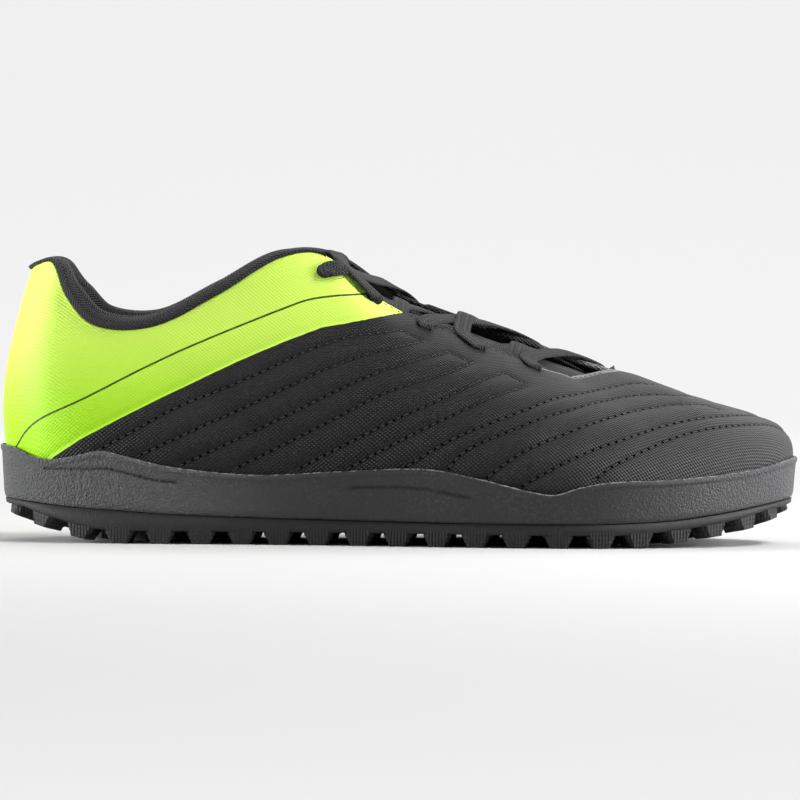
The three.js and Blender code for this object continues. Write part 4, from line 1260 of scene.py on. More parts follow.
@dataclass
class Upper:
    """Hollow upper with its two colours, quilted panel, printed line, cut edges and punched eyelets."""

    stations: int = 576
    rows: int = 92
    crest_rounds: int = 110
    groove: float = 0.39 * MM
    groove_width: float = 1.15 * MM
    puff: float = 0.30 * MM
    puff_reach: float = 5.5 * MM
    quilt_margin: tuple[float, float] = (2 * MM, 8 * MM)
    panel_blend: float = 0.35 * MM
    rolled_depth: float = 0.15 * MM
    cut_back: float = 1.8 * MM
    cut_blend: float = 0.25 * MM
    layer: float = 0.55 * MM
    eyelet_radius: float = 2.3 * MM
    medial_shift: float = 0.13 * SIZES.length
    seam_pitch: float = 3 * MM
    throat_stitch_inset: float = 3.2 * MM

    def seam_places(self) -> list[tuple[Array, Array]]:
        """Lays the seams of the lateral side on the skin.

        Returns:
            The rib and v of points along each.
        """
        places = []
        for rows in SEAMS:
            corners = side_line(rows)
            last = -1 if rows[-1][1] < rows[-2][1] - 0.03 else len(rows)
            line = Spline(corners[:last]).read(np.linspace(0, 1, 60))
            if last == -1:
                line = np.vstack([line, np.linspace(line[-1], corners[-1], 9)[1:]])
            places.append(LAST.place(line[:, 0], line[:, 1]))
        return places

    def base(self) -> None:
        """Lays out the skin's grid and smooths the toe box crest."""
        w = np.arange(self.stations) * TURN / self.stations
        v = np.concatenate([np.linspace(-1, 0, 6)[:-1], np.linspace(0, 1, self.rows)])
        self.w, self.v = np.meshgrid(w, v)
        _, self.u = LAST.rib(self.w)
        points = LAST.skin(self.w, self.v)
        mirror = (-np.arange(self.stations)) % self.stations
        joined = self.u[0] > THROAT_FRONT + 0.01
        crest = smoothstep(12.7, 13.5, self.u) * smoothstep(0.66, 0.92, self.v)
        corner = smoothstep(11.0, 12.5, self.u) * smoothstep(0.45, 0.8, self.v)
        weight = np.clip(crest + 0.5 * corner + 0.04, 0, 1)
        weight[-1, ~joined] = 0
        weight[0] = 0

        def beside() -> tuple[Array, Array]:
            """Returns the points above, over the joined crest too, and below."""
            over = np.where(joined[:, None], points[-2][mirror], points[-1])
            return np.vstack([points[1:], over[None]]), np.vstack([points[:1], points[:-1]])

        for _ in range(self.crest_rounds):
            above, below = beside()
            around = np.roll(points, 1, axis=1) + np.roll(points, -1, axis=1)
            points = points + 0.5 * weight[..., None] * ((above + below + around) / 4 - points)
        self.points = points
        above, below = beside()
        around = np.roll(points, -1, axis=1) - np.roll(points, 1, axis=1)
        self.normals = unit(np.cross(around, above - below))
        both = unit(self.normals[-1] + self.normals[-1][mirror])
        self.normals[-1] = np.where(joined[:, None], both, self.normals[-1])

    def measure(self) -> None:
        """Finds each point's distance to the panel's edge, the seams, the print and the cut edge."""
        flat = self.points.reshape(-1, 3)
        side_view = flat[:, [0, 2]]
        distance, side = line_distance(side_view, side_line(PANEL.rows))
        self.panel = (distance * side).reshape(self.w.shape)
        rise = smoothstep(0.6, 0.85, flat[:, 2] / SIZES.collar_height) * (self.w.ravel() > LAST_RIB)
        shifted = side_view + np.stack([self.medial_shift * rise, 0 * rise], 1)
        distance, side = line_distance(shifted, side_line(PANEL.rows))
        self.black = (distance * side).reshape(self.w.shape)
        line = Spline(side_line(PRINT_LINE.rows)).read(np.linspace(0, 1, 160))
        distance, side = line_distance(side_view, line)
        self.print_line = (distance * side).reshape(self.w.shape)
        samples = []
        self.seams = []
        for u, v in self.seam_places():
            for w in (u, TURN - u):
                dense = LAST.skin(w, v)
                self.seams.append((w, v))
                samples.append(equal_steps(dense, 0.3 * MM))
        self.seam = nearest(flat, np.vstack(samples)).reshape(self.w.shape)
        around = np.linspace(-THROAT_FRONT, THROAT_FRONT, 1600)
        rim = LAST.edge(np.mod(around, TURN))
        self.edge = nearest(flat, equal_steps(rim, 0.3 * MM)).reshape(self.w.shape)

    def height(self) -> Array:
        """Works out the outer face's relief.

        Returns:
            Its height over the skin at each point.
        """
        on_panel = smoothstep(-self.panel_blend, self.panel_blend, self.panel)
        height = SIZES.panel_step * on_panel
        quilt = on_panel * smoothstep(*self.quilt_margin, self.edge)
        groove = np.exp(-(self.seam / self.groove_width) ** 2)
        height += quilt * (self.puff * smoothstep(0, self.puff_reach, self.seam) - self.groove * groove)
        rolled = (1 - on_panel) * np.exp(-((self.panel + 1.2 * MM) / (0.9 * MM)) ** 2)
        height -= self.rolled_depth * rolled
        throat = smoothstep(8.2, 8.6, self.u)
        cut = (1 - smoothstep(self.cut_back - self.cut_blend, self.cut_back + self.cut_blend,
                              self.edge)) * throat
        height -= self.layer * cut
        return height + self.creases()

    def creases(self) -> Array:
        """Folds: where the forepart flexes and where the quarter has been handled.

        Returns:
            The height of their soft troughs and ridges at each point.
        """
        x = self.points[..., 0] / SIZES.length
        z = self.points[..., 2] / SIZES.collar_height
        folds = np.zeros_like(x)
        reach = smoothstep(0.28, 0.42, z)
        for start, lean, width, depth in CREASES:
            gap = (x - start - lean * (z - 0.45)) * SIZES.length
            folds -= depth * MM * reach * np.exp(-(gap / (width * MM)) ** 2)
            folds += 0.6 * depth * MM * reach * np.exp(-((gap - 1.6 * width * MM) / (width * MM)) ** 2)
        return folds

    def eyelet_frames(self) -> list[tuple[Array, Array, float]]:
        """Finds the eyelets on the outer face.

        Returns:
            Centre, way out and surface height of each.
        """
        frames = []
        flat = self.points.reshape(-1, 3)
        height = self.outer_height.ravel()
        for row in EYELETS.rows:
            for w in (row[0], TURN - row[1]):
                v = LAST.below_edge(np.array([w]), np.array([SIZES.eyelet_from_edge]))
                centre = LAST.skin(np.array([w]), v)[0]
                out = LAST.normal(np.array([w]), v)[0]
                near = int(np.argmin(((flat - centre) ** 2).sum(1)))
                frames.append((centre, out, float(height[near])))
        return frames

    def build(self) -> bpy.types.Object:
        """Builds the shell, with its lining in a second material.

        Returns:
            The piece.
        """
        self.base()
        self.measure()
        self.outer_height = self.height()
        outer = self.points + self.normals * self.outer_height[..., None]
        keep = np.ones((outer.shape[0] - 1, self.stations), dtype=bool)
        inner_rows = np.unique(np.linspace(0, outer.shape[0] - 1, 30).astype(int))
        inner = (self.points - self.normals * SIZES.wall)[inner_rows]
        keep_inner = np.ones((len(inner_rows) - 1, self.stations), dtype=bool)
        self.eyelets = self.eyelet_frames()
        for centre, out, _ in self.eyelets:
            for points, kept in ((outer, keep), (inner, keep_inner)):
                self.punch(points, kept, centre, out)
        around = np.linalg.norm(np.diff(LAST.skin(self.w[0], 0.5), axis=0, append=0), axis=1)
        along = np.concatenate([[0], around[:-1].cumsum()])
        rise = np.linalg.norm(np.diff(self.points, axis=0), axis=2).cumsum(axis=0)
        rise = np.vstack([np.zeros((1, self.stations)), rise])
        uv = np.stack([np.broadcast_to(along, rise.shape), rise], -1)
        parts = MeshParts()
        parts.grid(outer, uv, closed=True, keep=keep)
        top = self.points[-1]
        up = unit(self.points[-1] - self.points[-3])
        rim = []
        high, low = self.outer_height[-1], -SIZES.wall
        for angle in np.linspace(0, math.pi, 6):
            middle = (high + low) / 2
            radius = (high - low) / 2
            rim.append(top + self.normals[-1] * (middle + radius * math.cos(angle))[:, None]
                       + up * 0.5 * MM * math.sin(angle))
        middle_u = LAST.rib(self.w[0] + TURN / self.stations / 2)[1]
        open_edge = np.broadcast_to(middle_u < THROAT_FRONT, (5, self.stations))
        parts.grid(np.array(rim), np.repeat(uv[-1:], 6, axis=0), closed=True, keep=open_edge)
        parts.grid(inner[::-1], uv[inner_rows][::-1], closed=True, slot=1, keep=keep_inner[::-1])
        parts.grid(np.array([self.points[0] - self.normals[0] * SIZES.wall, outer[0]]),
                   np.repeat(uv[:1], 2, axis=0), closed=True, slot=1)
        textile = smoothstep(10.9, 11.3, self.u) * smoothstep(0.5, 0.7, self.v)
        sheets = {"panel": self.black, "seam": self.seam, "edge": self.edge,
                  "print_line": self.print_line, "textile": textile}
        attributes = {}
        for name, values in sheets.items():
            attributes[name] = np.concatenate([
                values.ravel(), np.tile(values[-1], 6), values[inner_rows][::-1].ravel(),
                np.tile(values[0], 2)])
        lining = FabricFinish("lining_fabric", (0.012, 0.012, 0.013), (0.045, 0.045, 0.05),
                              pitch=1.0 * MM, slant=0.0, depth=0.12 * MM)
        return parts.build("upper_shell", [SyntheticFinish().material(), lining.material()], attributes)

    def punch(self, points: Array, kept: Array, centre: Array, out: Array) -> None:
        """Punches one eyelet: points inside it move out to its edge, and faces inside it go.

        Args:
            points: grid of points, changed in place.
            kept: which of the grid's faces stay, changed in place.
            centre: the eyelet's centre.
            out: the way out of the upper there.
        """
        gap = points - centre
        depth = gap @ out
        level = gap - depth[..., None] * out
        radius = np.maximum(np.linalg.norm(level, axis=-1), 1e-6)
        edge = self.eyelet_radius + 0.3 * MM
        within = (radius < edge) & (np.abs(depth) < 6 * MM)
        points += np.where(within, edge / radius - 1, 0.0)[..., None] * level
        beside = np.roll(within, -1, axis=1)
        kept &= ~(within[:-1] & within[1:] & beside[:-1] & beside[1:])

    def surface_line(self, w: Array, v: Array, lift: float) -> tuple[Array, Array]:
        """Lays a line on the finished outer face.

        Args:
            w: places round the shoe.
            v: heights on the ribs.
            lift: how far over the face.

        Returns:
            The points and their ways out.
        """
        base = LAST.skin(w, v)
        out = LAST.normal(w, v)
        points = []
        for place, way in zip(base, out):
            hit = self.tree.ray_cast(Vector(place + way * 6 * MM - ORIGIN), Vector(-way), 12 * MM)
            points.append(np.array(hit[0]) + ORIGIN if hit[0] is not None else place)
        return np.array(points) + out * lift, out

    def stitches(self, nodes: Nodes) -> None:
        """Sews the seams of the panel and the throat's edge.

        Args:
            nodes: the tree of stitches.
        """
        step = 0.5 * MM
        lines = []
        for w, v in self.seams:
            runs = walked(LAST.skin(w, v))
            even = np.arange(0, runs[-1], step)
            lines.append(self.surface_line(np.interp(even, runs, w), np.interp(even, runs, v), 0.0))
        thread = ThreadFinish("seam_thread", (0.016, 0.016, 0.017)).material()
        # Near-black balls between the stitches: painted shade standing in for the needle holes.
        hole = ThreadFinish("seam_hole_shade", (0.0008, 0.0008, 0.0008), 0.0).material()
        piece = nodes.run("panel_stitches", line_carrier(lines), pitch=self.seam_pitch, stitch=2.5 * MM,
                          thread=0.42 * MM, height=0.5 * MM, material=thread)
        hand_in(piece, "upper_synthetic")
        half = round(self.seam_pitch / 2 / step)
        hole_shades = nodes.run("panel_stitch_holes", line_carrier([(a[half:], b[half:]) for a, b in lines]),
                          pitch=self.seam_pitch, stitch=1.15 * MM, thread=0.95 * MM, height=0.45 * MM,
                          material=hole)
        hand_in(hole_shades, "upper_synthetic")
        lines = []
        for side in (1, -1):
            u = np.linspace(8.35, 12.6, 240)
            w = np.mod(side * u, TURN)
            v = LAST.below_edge(w, np.full_like(w, self.throat_stitch_inset))
            lines.append(self.surface_line(w, v, 0.05 * MM))
        edge = nodes.run("throat_stitches", line_carrier(lines), pitch=2.5 * MM, stitch=1.9 * MM,
                         thread=0.45 * MM, height=0.5 * MM, material=thread)
        hand_in(edge, "upper_synthetic")

    def eyelet_walls(self) -> bpy.types.Object:
        """Builds the rounded walls of the punched eyelets.

        Returns:
            The piece.
        """
        profile = ((2.85, -0.12), (2.75, 0.03), (2.6, 0.07), (2.42, 0.0), (2.3, -0.25), (2.25, -1.4),
                   (2.35, -2.6), (2.8, -2.95), (3.6, -2.8))
        angles = np.linspace(0, math.tau, 28, endpoint=False)
        parts = MeshParts()
        panel: list[float] = []
        for centre, out, height in self.eyelets:
            side = unit(np.cross(out, np.array([0.0, 0.0, 1.0])))
            other = np.cross(out, side)
            ring = side * np.cos(angles)[:, None] + other * np.sin(angles)[:, None]
            grid = np.array([centre + out * (height + h * MM) + ring * r * MM for r, h in profile])
            parts.grid(grid, closed=True)
            place = centre[[0, 2]] + np.array([self.medial_shift * (centre[1] > 0), 0.0])
            lime = line_distance(place[None], side_line(PANEL.rows))
            count = grid.shape[0] * grid.shape[1]
            panel += [float(lime[0][0] * lime[1][0])] * count
        far = np.full(len(panel), 20 * MM)
        attributes = {"panel": np.array(panel), "seam": far, "edge": far, "print_line": far,
                      "textile": 0 * far}
        material = bpy.data.materials["upper_synthetic"]
        return parts.build("eyelet_walls", [material], attributes, recalculate=False)

    def dress(self, nodes: Nodes) -> None:
        """Builds the upper and its small parts and ties them to the frame.

        Args:
            nodes: the tree of stitches.
        """
        shell = self.build()
        self.tree = BVHTree.FromObject(shell, bpy.context.evaluated_depsgraph_get())
        hand_in(shell, "upper_synthetic", "upper")
        hand_in(self.eyelet_walls(), "upper_synthetic")
        self.stitches(nodes)


@dataclass
class Collar:
    """Padded knitted collar, rolled over the topline."""

    front: float = 8.1
    band: float = 4.6 * MM
    depth: float = 23 * MM
    pad: float = 5 * MM
    fit: float = 0.6 * MM
    stations: int = 340
    sides: int = 44

    def section(self, w: Array) -> Array:
        """Sets out the collar's sections.

        Args:
            w: places round the shoe.

        Returns:
            The twelve points that each section passes through.
        """
        _, u = LAST.rib(w)
        knots = np.arange(len(COLLAR.rows), dtype=float)
        band = self.band * COLLAR.smooth("band", knots, u)
        face = SIZES.wall + self.fit
        pad = face + self.pad * COLLAR.smooth("pad", knots, u)
        edge = LAST.edge(w)
        run = unit(LAST.edge(np.mod(w + 0.04, TURN)) - LAST.edge(np.mod(w - 0.04, TURN)))
        up = edge - LAST.skin(w, 0.96)
        up = unit(up - run * (up * run).sum(1, keepdims=True))
        out = LAST.normal(w, np.ones_like(w))

        def above(height: float | Array, offset: float | Array) -> Array:
            """Returns points over the topline."""
            return edge + up * np.asarray(height)[..., None] + out * np.asarray(offset)[..., None]

        def below(share: float, offset: float | Array) -> Array:
            """Returns points on the lining side of the skin."""
            return LAST.off(w, LAST.below_edge(w, share * self.depth), -np.asarray(offset))

        lift = SIZES.clearance
        return np.stack([
            above(lift, 0.0), above(np.maximum(lift, band * 0.4), 0.9 * MM), above(band, -1.4 * MM),
            above(band * 0.9, -pad * 0.7), above(lift, -pad), below(0.45, pad * 0.95),
            below(1.0, face + 0.8 * MM), below(0.6, face), below(0.25, face), below(0.06, face),
            above(lift, -face), above(lift, -1 * MM)], 1)

    def dress(self) -> None:
        """Builds the collar and ties it to the frame."""
        w = np.linspace(self.front, -self.front, self.stations)
        sections = self.section(np.mod(w, TURN))
        share = np.linspace(0, 1, self.sides, endpoint=False)
        loops = np.array([Spline(section, closed=True).read(share) for section in sections])
        for _ in range(6):
            loops[1:-1] += 0.25 * (loops[:-2] + loops[2:] - 2 * loops[1:-1])
        centre = loops.mean(axis=1, keepdims=True)
        run = walked(centre[:, 0])
        end = np.minimum(run, run[-1] - run) / (2.5 * MM)
        close = np.sqrt(np.clip(1 - (1 - np.clip(end, 0, 1)) ** 2, 0, 1))
        loops = centre + (loops - centre) * np.maximum(close, 0.05)[:, None, None]
        girth = np.linalg.norm(np.diff(loops, axis=1, append=loops[:, :1]), axis=2).cumsum(axis=1)
        uv = np.stack([np.broadcast_to(run[:, None], girth.shape), girth - 0.03], -1)
        parts = MeshParts()
        first = parts.grid(loops, uv, closed=True)
        parts.ladder(first, self.sides)
        parts.ladder(first + (self.stations - 1) * self.sides, self.sides, flip=True)
        knit = FabricFinish("collar_knit", (0.005, 0.005, 0.0053), (0.033, 0.033, 0.0355),
                            pitch=1.25 * MM, slant=0.9, depth=0.5 * MM, columns=2.6 * MM,
                            column_depth=0.3)
        piece = parts.build("collar_padding", [knit.material()])
        hand_in(piece, "collar_knit", "collar")


@dataclass
class Tongue:
    """Padded tongue under the eyestays."""

    thickness: float = 3.5 * MM
    depth: float = 5.4 * MM
    rows: int = 90
    columns: int = 45

    def dress(self) -> None:
        """Builds the tongue and ties it to the frame."""
        knots = np.arange(len(TONGUE.rows), dtype=float)
        place = np.linspace(0, knots[-1], self.rows)
        u, c = np.meshgrid(np.interp(place, knots, TONGUE.column("rib")),
                           np.linspace(-1, 1, self.columns), indexing="ij")
        reach = TONGUE.smooth("reach", knots, place)
        drop = np.maximum(TONGUE.smooth("drop", knots, place), 0)
        top = LAST.throat(u, c * reach[:, None], -self.depth)
        top[..., 2] -= drop[:, None] * self.thickness
        for _ in range(12):
            top[1:-1, 1:-1] += 0.2 * (top[2:, 1:-1] + top[:-2, 1:-1] + top[1:-1, 2:] + top[1:-1, :-2]
                                      - 4 * top[1:-1, 1:-1])
        along = np.gradient(top, axis=0)
        across = np.gradient(top, axis=1)
        normal = unit(np.cross(along, across))
        normal *= np.where(normal[..., 2:] < 0, -1, 1)
        edge = np.sqrt(np.clip(1 - np.abs(c) ** 6, 0, 1)) * (0.3 + 0.7 * smoothstep(0, 2.5, place))[:, None]
        channels = 0.35 * MM * np.cos(math.tau * c * 2.5) * smoothstep(1.0, 0.8, np.abs(c))
        upper = top + normal * (channels * edge)[..., None]
        under = top - normal * (self.thickness * np.maximum(edge, 0.08))[..., None]
        uv = np.stack([place[:, None] * 12 * MM + 0 * c, c * 20 * MM], -1)
        loops = np.concatenate([upper, under[:, ::-1]], axis=1)
        maps = np.concatenate([uv, uv[:, ::-1]], axis=1)
        parts = MeshParts()
        first = parts.grid(loops, maps, closed=True)
        count = 2 * self.columns
        parts.ladder(first, count)
        parts.ladder(first + (self.rows - 1) * count, count, flip=True)
        cloth = FabricFinish("tongue_fabric", (0.008, 0.008, 0.0085), (0.035, 0.035, 0.038),
                             pitch=0.9 * MM, slant=0.0, depth=0.15 * MM)
        piece = parts.build("tongue_pad", [cloth.material()])
        hand_in(piece, "tongue_fabric", "tongue")


@dataclass
class Insole:
    """Foam insole with a textile face and a low rim."""

    thickness: float = 4 * MM
    stations: int = 240

    def dress(self) -> None:
        """Builds the insole and ties it to the frame."""
        w = np.arange(self.stations) * TURN / self.stations
        lift = SIZES.panel_step + SIZES.wall + 2 * SIZES.clearance
        feather = SIZES.upper_inset + SIZES.feather
        side = SIZES.upper_inset + SIZES.wall + SIZES.clearance
        loops = []
        for inset, rise in ((feather + 1 * MM, 0.0), (side + 1.6 * MM, 0.3), (side + 1.2 * MM, 0.55),
                            (side + 0.9 * MM, 0.8), (side + 1.1 * MM, 0.95), (side + 1.8 * MM, 1.0)):
            loop = LAST.outline(w, inset)
            loop[:, 2] = LAST.bed(loop[:, 0]) + lift + rise * self.thickness
            loops.append(loop)
        rim = loops[-1]
        half = self.stations // 2
        left, right = rim[:half + 1], rim[(-np.arange(half + 1)) % self.stations]
        share = np.linspace(0, 1, 25)[None, :, None]
        top = left[:, None] + (right - left)[:, None] * share
        hollow = np.sin(math.pi * share[..., 0]) * smoothstep(0, 12 * MM, np.linalg.norm(
            right - left, axis=1))[:, None]
        top[..., 2] -= 0.9 * MM * hollow
        parts = MeshParts()
        first = parts.grid(np.array(loops), np.array(loops)[..., :2], closed=True)
        parts.ladder(first, self.stations, flip=True)
        parts.grid(top, top[..., :2])
        cloth = FabricFinish("insole_fabric", (0.02, 0.02, 0.022), (0.07, 0.07, 0.075),
                             pitch=1.1 * MM, slant=0.0, depth=0.12 * MM)
        hand_in(parts.build("insole_board", [cloth.material()]), "insole_fabric", "insole")


@dataclass
class Cup:
    """Sidewall and wedge of the sole, with its bevelled lip, grooves and grain."""

    stations: int = 640
    tread_inset: float = 1.9 * MM
    side_inset: float = 1.3 * MM
    lip_undercut: float = 0.5 * MM
    lip_drop: float = 1.8 * MM
    groove: float = 0.6 * MM
    groove_width: float = 0.6 * MM

    def dress(self) -> None:
        """Builds the cup and ties it to the frame."""
        w = np.arange(self.stations) * TURN / self.stations
        edge = LAST.outline(w, 0.0)
        lip, parting = LAST.lip(edge[:, 0]), LAST.parting(edge[:, 0])
        grooves = [side_line(rows) for rows in CUP_GROOVES]
        loops, marks = [], []

        def ring(inset: float, height: Array) -> None:
            """Adds a loop of the cup, pressed in where a groove runs.

            Args:
                inset: how far inside the outline.
                height: height at each station.
            """
            loop = LAST.outline(w, inset)
            loop[:, 2] = height
            near = np.min([line_distance(loop[:, [0, 2]], line)[0] for line in grooves], axis=0)
            press = np.exp(-(near / self.groove_width) ** 2)
            # Below 0 in the grooves, where the rubber gets painted shade.
            marks.append(-press)
            loops.append(loop - LAST.outward(w) * (self.groove * press)[:, None])

        ring(self.tread_inset, parting)
        shoulder = parting + 0.16 * (lip - parting)
        for share in (0.35, 0.7, 0.9, 1.0):
            inset = self.tread_inset + (self.side_inset - self.tread_inset) * math.sin(share * math.pi / 2)
            ring(inset, parting + share * (shoulder - parting))
        under_lip = lip - self.lip_drop - 0.7 * MM
        for share in np.linspace(0, 1, 30)[1:]:
            inset = self.side_inset + share * (self.lip_undercut - self.side_inset)
            ring(inset, shoulder + share * (under_lip - shoulder))
        for inset, drop in ((0.42, 0.45), (0.2, 0.2), (0.05, -0.1), (0.0, -0.5), (0.02, -1.0),
                            (0.12, -1.4), (0.4, -1.68), (0.75, -1.8)):
            ring(inset * MM, lip - self.lip_drop - drop * MM)
        fit = SIZES.panel_step + SIZES.clearance
        inner = LAST.off(w, LAST.at_height(w, lip), fit)
        inner[:, 2] = lip - 0.2 * MM
        loops.append(inner)
        middle = (lip + LAST.bed(edge[:, 0]) + SIZES.feather) / 2
        loops.append(LAST.off(w, LAST.at_height(w, middle), fit))
        for v in (0.0, -0.5, -1.0):
            loops.append(LAST.off(w, np.full_like(w, v), fit))
        parts = MeshParts()
        first = parts.grid(np.array(loops), closed=True)
        parts.ladder(first, self.stations, flip=True)
        parts.ladder(first + (len(loops) - 1) * self.stations, self.stations)
        rim = np.zeros((len(loops), self.stations))
        rim[:len(marks)] = marks
        rim[len(marks) - 2:len(marks)] = 1.0
        rubber = RubberFinish("cup_rubber", (0.021, 0.0212, 0.022), grain=0.75 * MM, depth=1.1 * MM,
                              roughness=0.44, painted_light=1.0)
        piece = parts.build("sole_cup", [rubber.material()], {"rim": rim.ravel()})
        hand_in(piece, "cup_rubber", "midsole")


@dataclass
class Tread:
    """Tread plate with its rim of lugs and its field of small lugs."""

    lug_height: float = 4.5 * MM
    pitch: float = 14 * MM
    lug_length: float = 6.8 * MM
    lug_flare: float = 2.4 * MM
    lug_depth: float = 10 * MM
    field_pitch: float = 15 * MM
    field_width: float = 8 * MM
    field_depth: float = 6 * MM
    draft: float = 0.9 * MM
    root: float = 1.2 * MM
    inset: float = 2.6 * MM
    plate_inset: float = 1.9 * MM
    stations: int = 320

    def plate(self) -> MeshParts:
        """Lays out the thin plate between cup and lugs.

        Returns:
            Its points and faces.
        """
        w = np.arange(self.stations) * TURN / self.stations
        loops = []
        for extra, low in ((0.6, 1.0), (0.2, 0.85), (0.0, 0.0)):
            loop = LAST.outline(w, self.plate_inset + extra * MM)
            x = loop[:, 0]
            bottom = np.minimum(LAST.ground(x) + self.lug_height, LAST.parting(x) - 2 * MM)
            top = LAST.parting(x) - SIZES.clearance
            loop[:, 2] = top + low * (bottom - top)
            loops.append(loop)
        parts = MeshParts()
        first = parts.grid(np.array(loops), closed=True)
        parts.ladder(first, self.stations, flip=True)
        parts.ladder(first + 2 * self.stations, self.stations)
        return parts

    def lug(self, wider: float, deeper: float) -> bpy.types.Object:
        """Makes one lug of unit size: terraced sides, chamfered corners, its foot at zero.

        Args:
            wider: how much longer its root is than its foot.
            deeper: how much deeper its root is than its foot.

        Returns:
            The lug, as a pattern to set on points.
        """
        corners = np.array([(-1, -0.72), (-0.72, -1), (0.72, -1), (1, -0.72), (1, 0.72), (0.72, 1),
                            (-0.72, 1), (-1, 0.72)]) / 2
        rows = ((0.0, -0.1), (0.07, 0.0), (0.27, 0.14), (0.31, 0.3), (0.52, 0.42), (0.57, 0.6),
                (0.78, 0.72), (0.84, 0.9), (1.0, 1.0))
        grid = np.array([[(x * (1 + t * (wider - 1)), y * (1 + t * (deeper - 1)), z) for x, y in corners]
                         for z, t in rows])
        parts = MeshParts()
        first = parts.grid(grid + ORIGIN, closed=True)
        parts.ladder(first, 8, flip=True)
        parts.ladder(first + (len(rows) - 1) * 8, 8)
        return parts.build("lug_pattern", [])

    def places(self) -> list[tuple[Array, float, float, float]]:
        """Sets out the lugs: a rim that follows the outline, and a field inside it.

        Returns:
            Centre, turn, length and depth of every lug.
        """
        found = []
        inset = self.inset + self.draft + self.lug_depth / 2 - 0.6 * MM
        steps = 720
        w = np.arange(steps + 1) * TURN / steps
        track = LAST.outline(w, inset)
        away = LAST.outward(w)
        gone = self.pitch / 2
        for i in range(1, steps + 1):
            gone += float(np.linalg.norm(track[i] - track[i - 1]))
            if gone >= self.pitch:
                gone -= self.pitch
                turn = math.atan2(away[i][0], -away[i][1])
                found.append((track[i], turn, self.lug_length, self.lug_depth))
        rim = inset + self.lug_depth / 2 + self.draft + self.field_depth
        loop = LAST.outline(np.linspace(0, TURN, 200, endpoint=False), rim)[:, :2]
        for row in range(int(SIZES.length / self.field_pitch) + 1):
            x = (row + 0.5) * self.field_pitch
            bare = 0.33 * SIZES.length < x < 0.52 * SIZES.length
            for column in range(-3, 4):
                y = (column + (row % 2) / 2) * self.field_pitch
                if not bare and self.inside(loop, x, y):
                    turn = math.pi / 4 * (1 if row % 2 == 0 else -1)
                    found.append((np.array([x, y, 0.0]), turn, self.field_width, self.field_depth))
        return found

    @staticmethod
    def inside(loop: Array, x: float, y: float) -> bool:
        """Tests a place on the plan against a closed loop.

        Args:
            loop: the loop's corners.
            x: place along the shoe.
            y: place across it.

        Returns:
            Whether it lies inside.
        """
        a, b = loop, np.roll(loop, -1, axis=0)
        spans = (a[:, 1] > y) != (b[:, 1] > y)
        rise = np.where(spans, b[:, 1] - a[:, 1], 1)
        cut = a[:, 0] + (y - a[:, 1]) / rise * (b[:, 0] - a[:, 0])
        return bool((spans & (x < cut)).sum() % 2)

    def dress(self, nodes: Nodes) -> None:
        """Builds the tread and ties it to the frame.

        Args:
            nodes: the tree of lugs.
        """
        plain = RubberFinish("plate_rubber", (0.011, 0.0112, 0.0118), grain=0.6 * MM, depth=0.25 * MM,
                             roughness=0.58)
        hand_in(self.plate().build("tread_plate", [plain.material()]), "tread_rubber", "outsole")
        rubber = RubberFinish("tread_rubber", (0.010, 0.0102, 0.0108), grain=0.6 * MM, depth=0.2 * MM,
                              roughness=0.58, flutes=1.1 * MM).material()
        places = self.places()
        rim = [row for row in places if row[2] == self.lug_length]
        field = [row for row in places if row[2] == self.field_width]
        grow = 2 * self.draft
        for name, rows, pattern in (
                ("rim_lugs", rim, self.lug(1 + 2 * self.lug_flare / self.lug_length,
                                           1 + grow / self.lug_depth)),
                ("field_lugs", field, self.lug(1 + grow / self.field_width, 1 + grow / self.field_depth))):
            piece = nodes.run(f"tread_{name}", self.points(rows), lug=pattern, material=rubber)
            bpy.data.objects.remove(pattern)
            for polygon in piece.data.polygons:
                polygon.use_smooth = False
            hand_in(piece, "tread_rubber")

    def points(self, places: list[tuple[Array, float, float, float]]) -> bpy.types.Object:
        """Makes an object with a point for each lug, its turn and its size.

        Args:
            places: centre, turn, length and depth of each lug.

        Returns:
            The object.
        """
        centres, turns, sizes = [], [], []
        for centre, turn, length, depth in places:
            x = centre[0]
            slope = float(LAST.ground(x + 2 * MM) - LAST.ground(x - 2 * MM)) / (4 * MM)
            foot = float(LAST.ground(x))
            top = min(foot + self.lug_height + self.root, float(LAST.parting(x)) - 2 * SIZES.clearance)
            centres.append((centre[0], centre[1], foot))
            tilt = -math.atan(slope)
            turns.append((tilt * math.sin(turn), tilt * math.cos(turn), turn))
            sizes.append((length, depth, top - foot))
        mesh = bpy.data.meshes.new("lug_points")
        mesh.from_pydata((np.array(centres) - ORIGIN).tolist(), [], [])
        for name, rows in (("turn", turns), ("size", sizes)):
            values = np.array(rows, dtype=np.float32).ravel()
            mesh.attributes.new(name, "FLOAT_VECTOR", "POINT").data.foreach_set("vector", values)
        return link("lug_points", mesh)


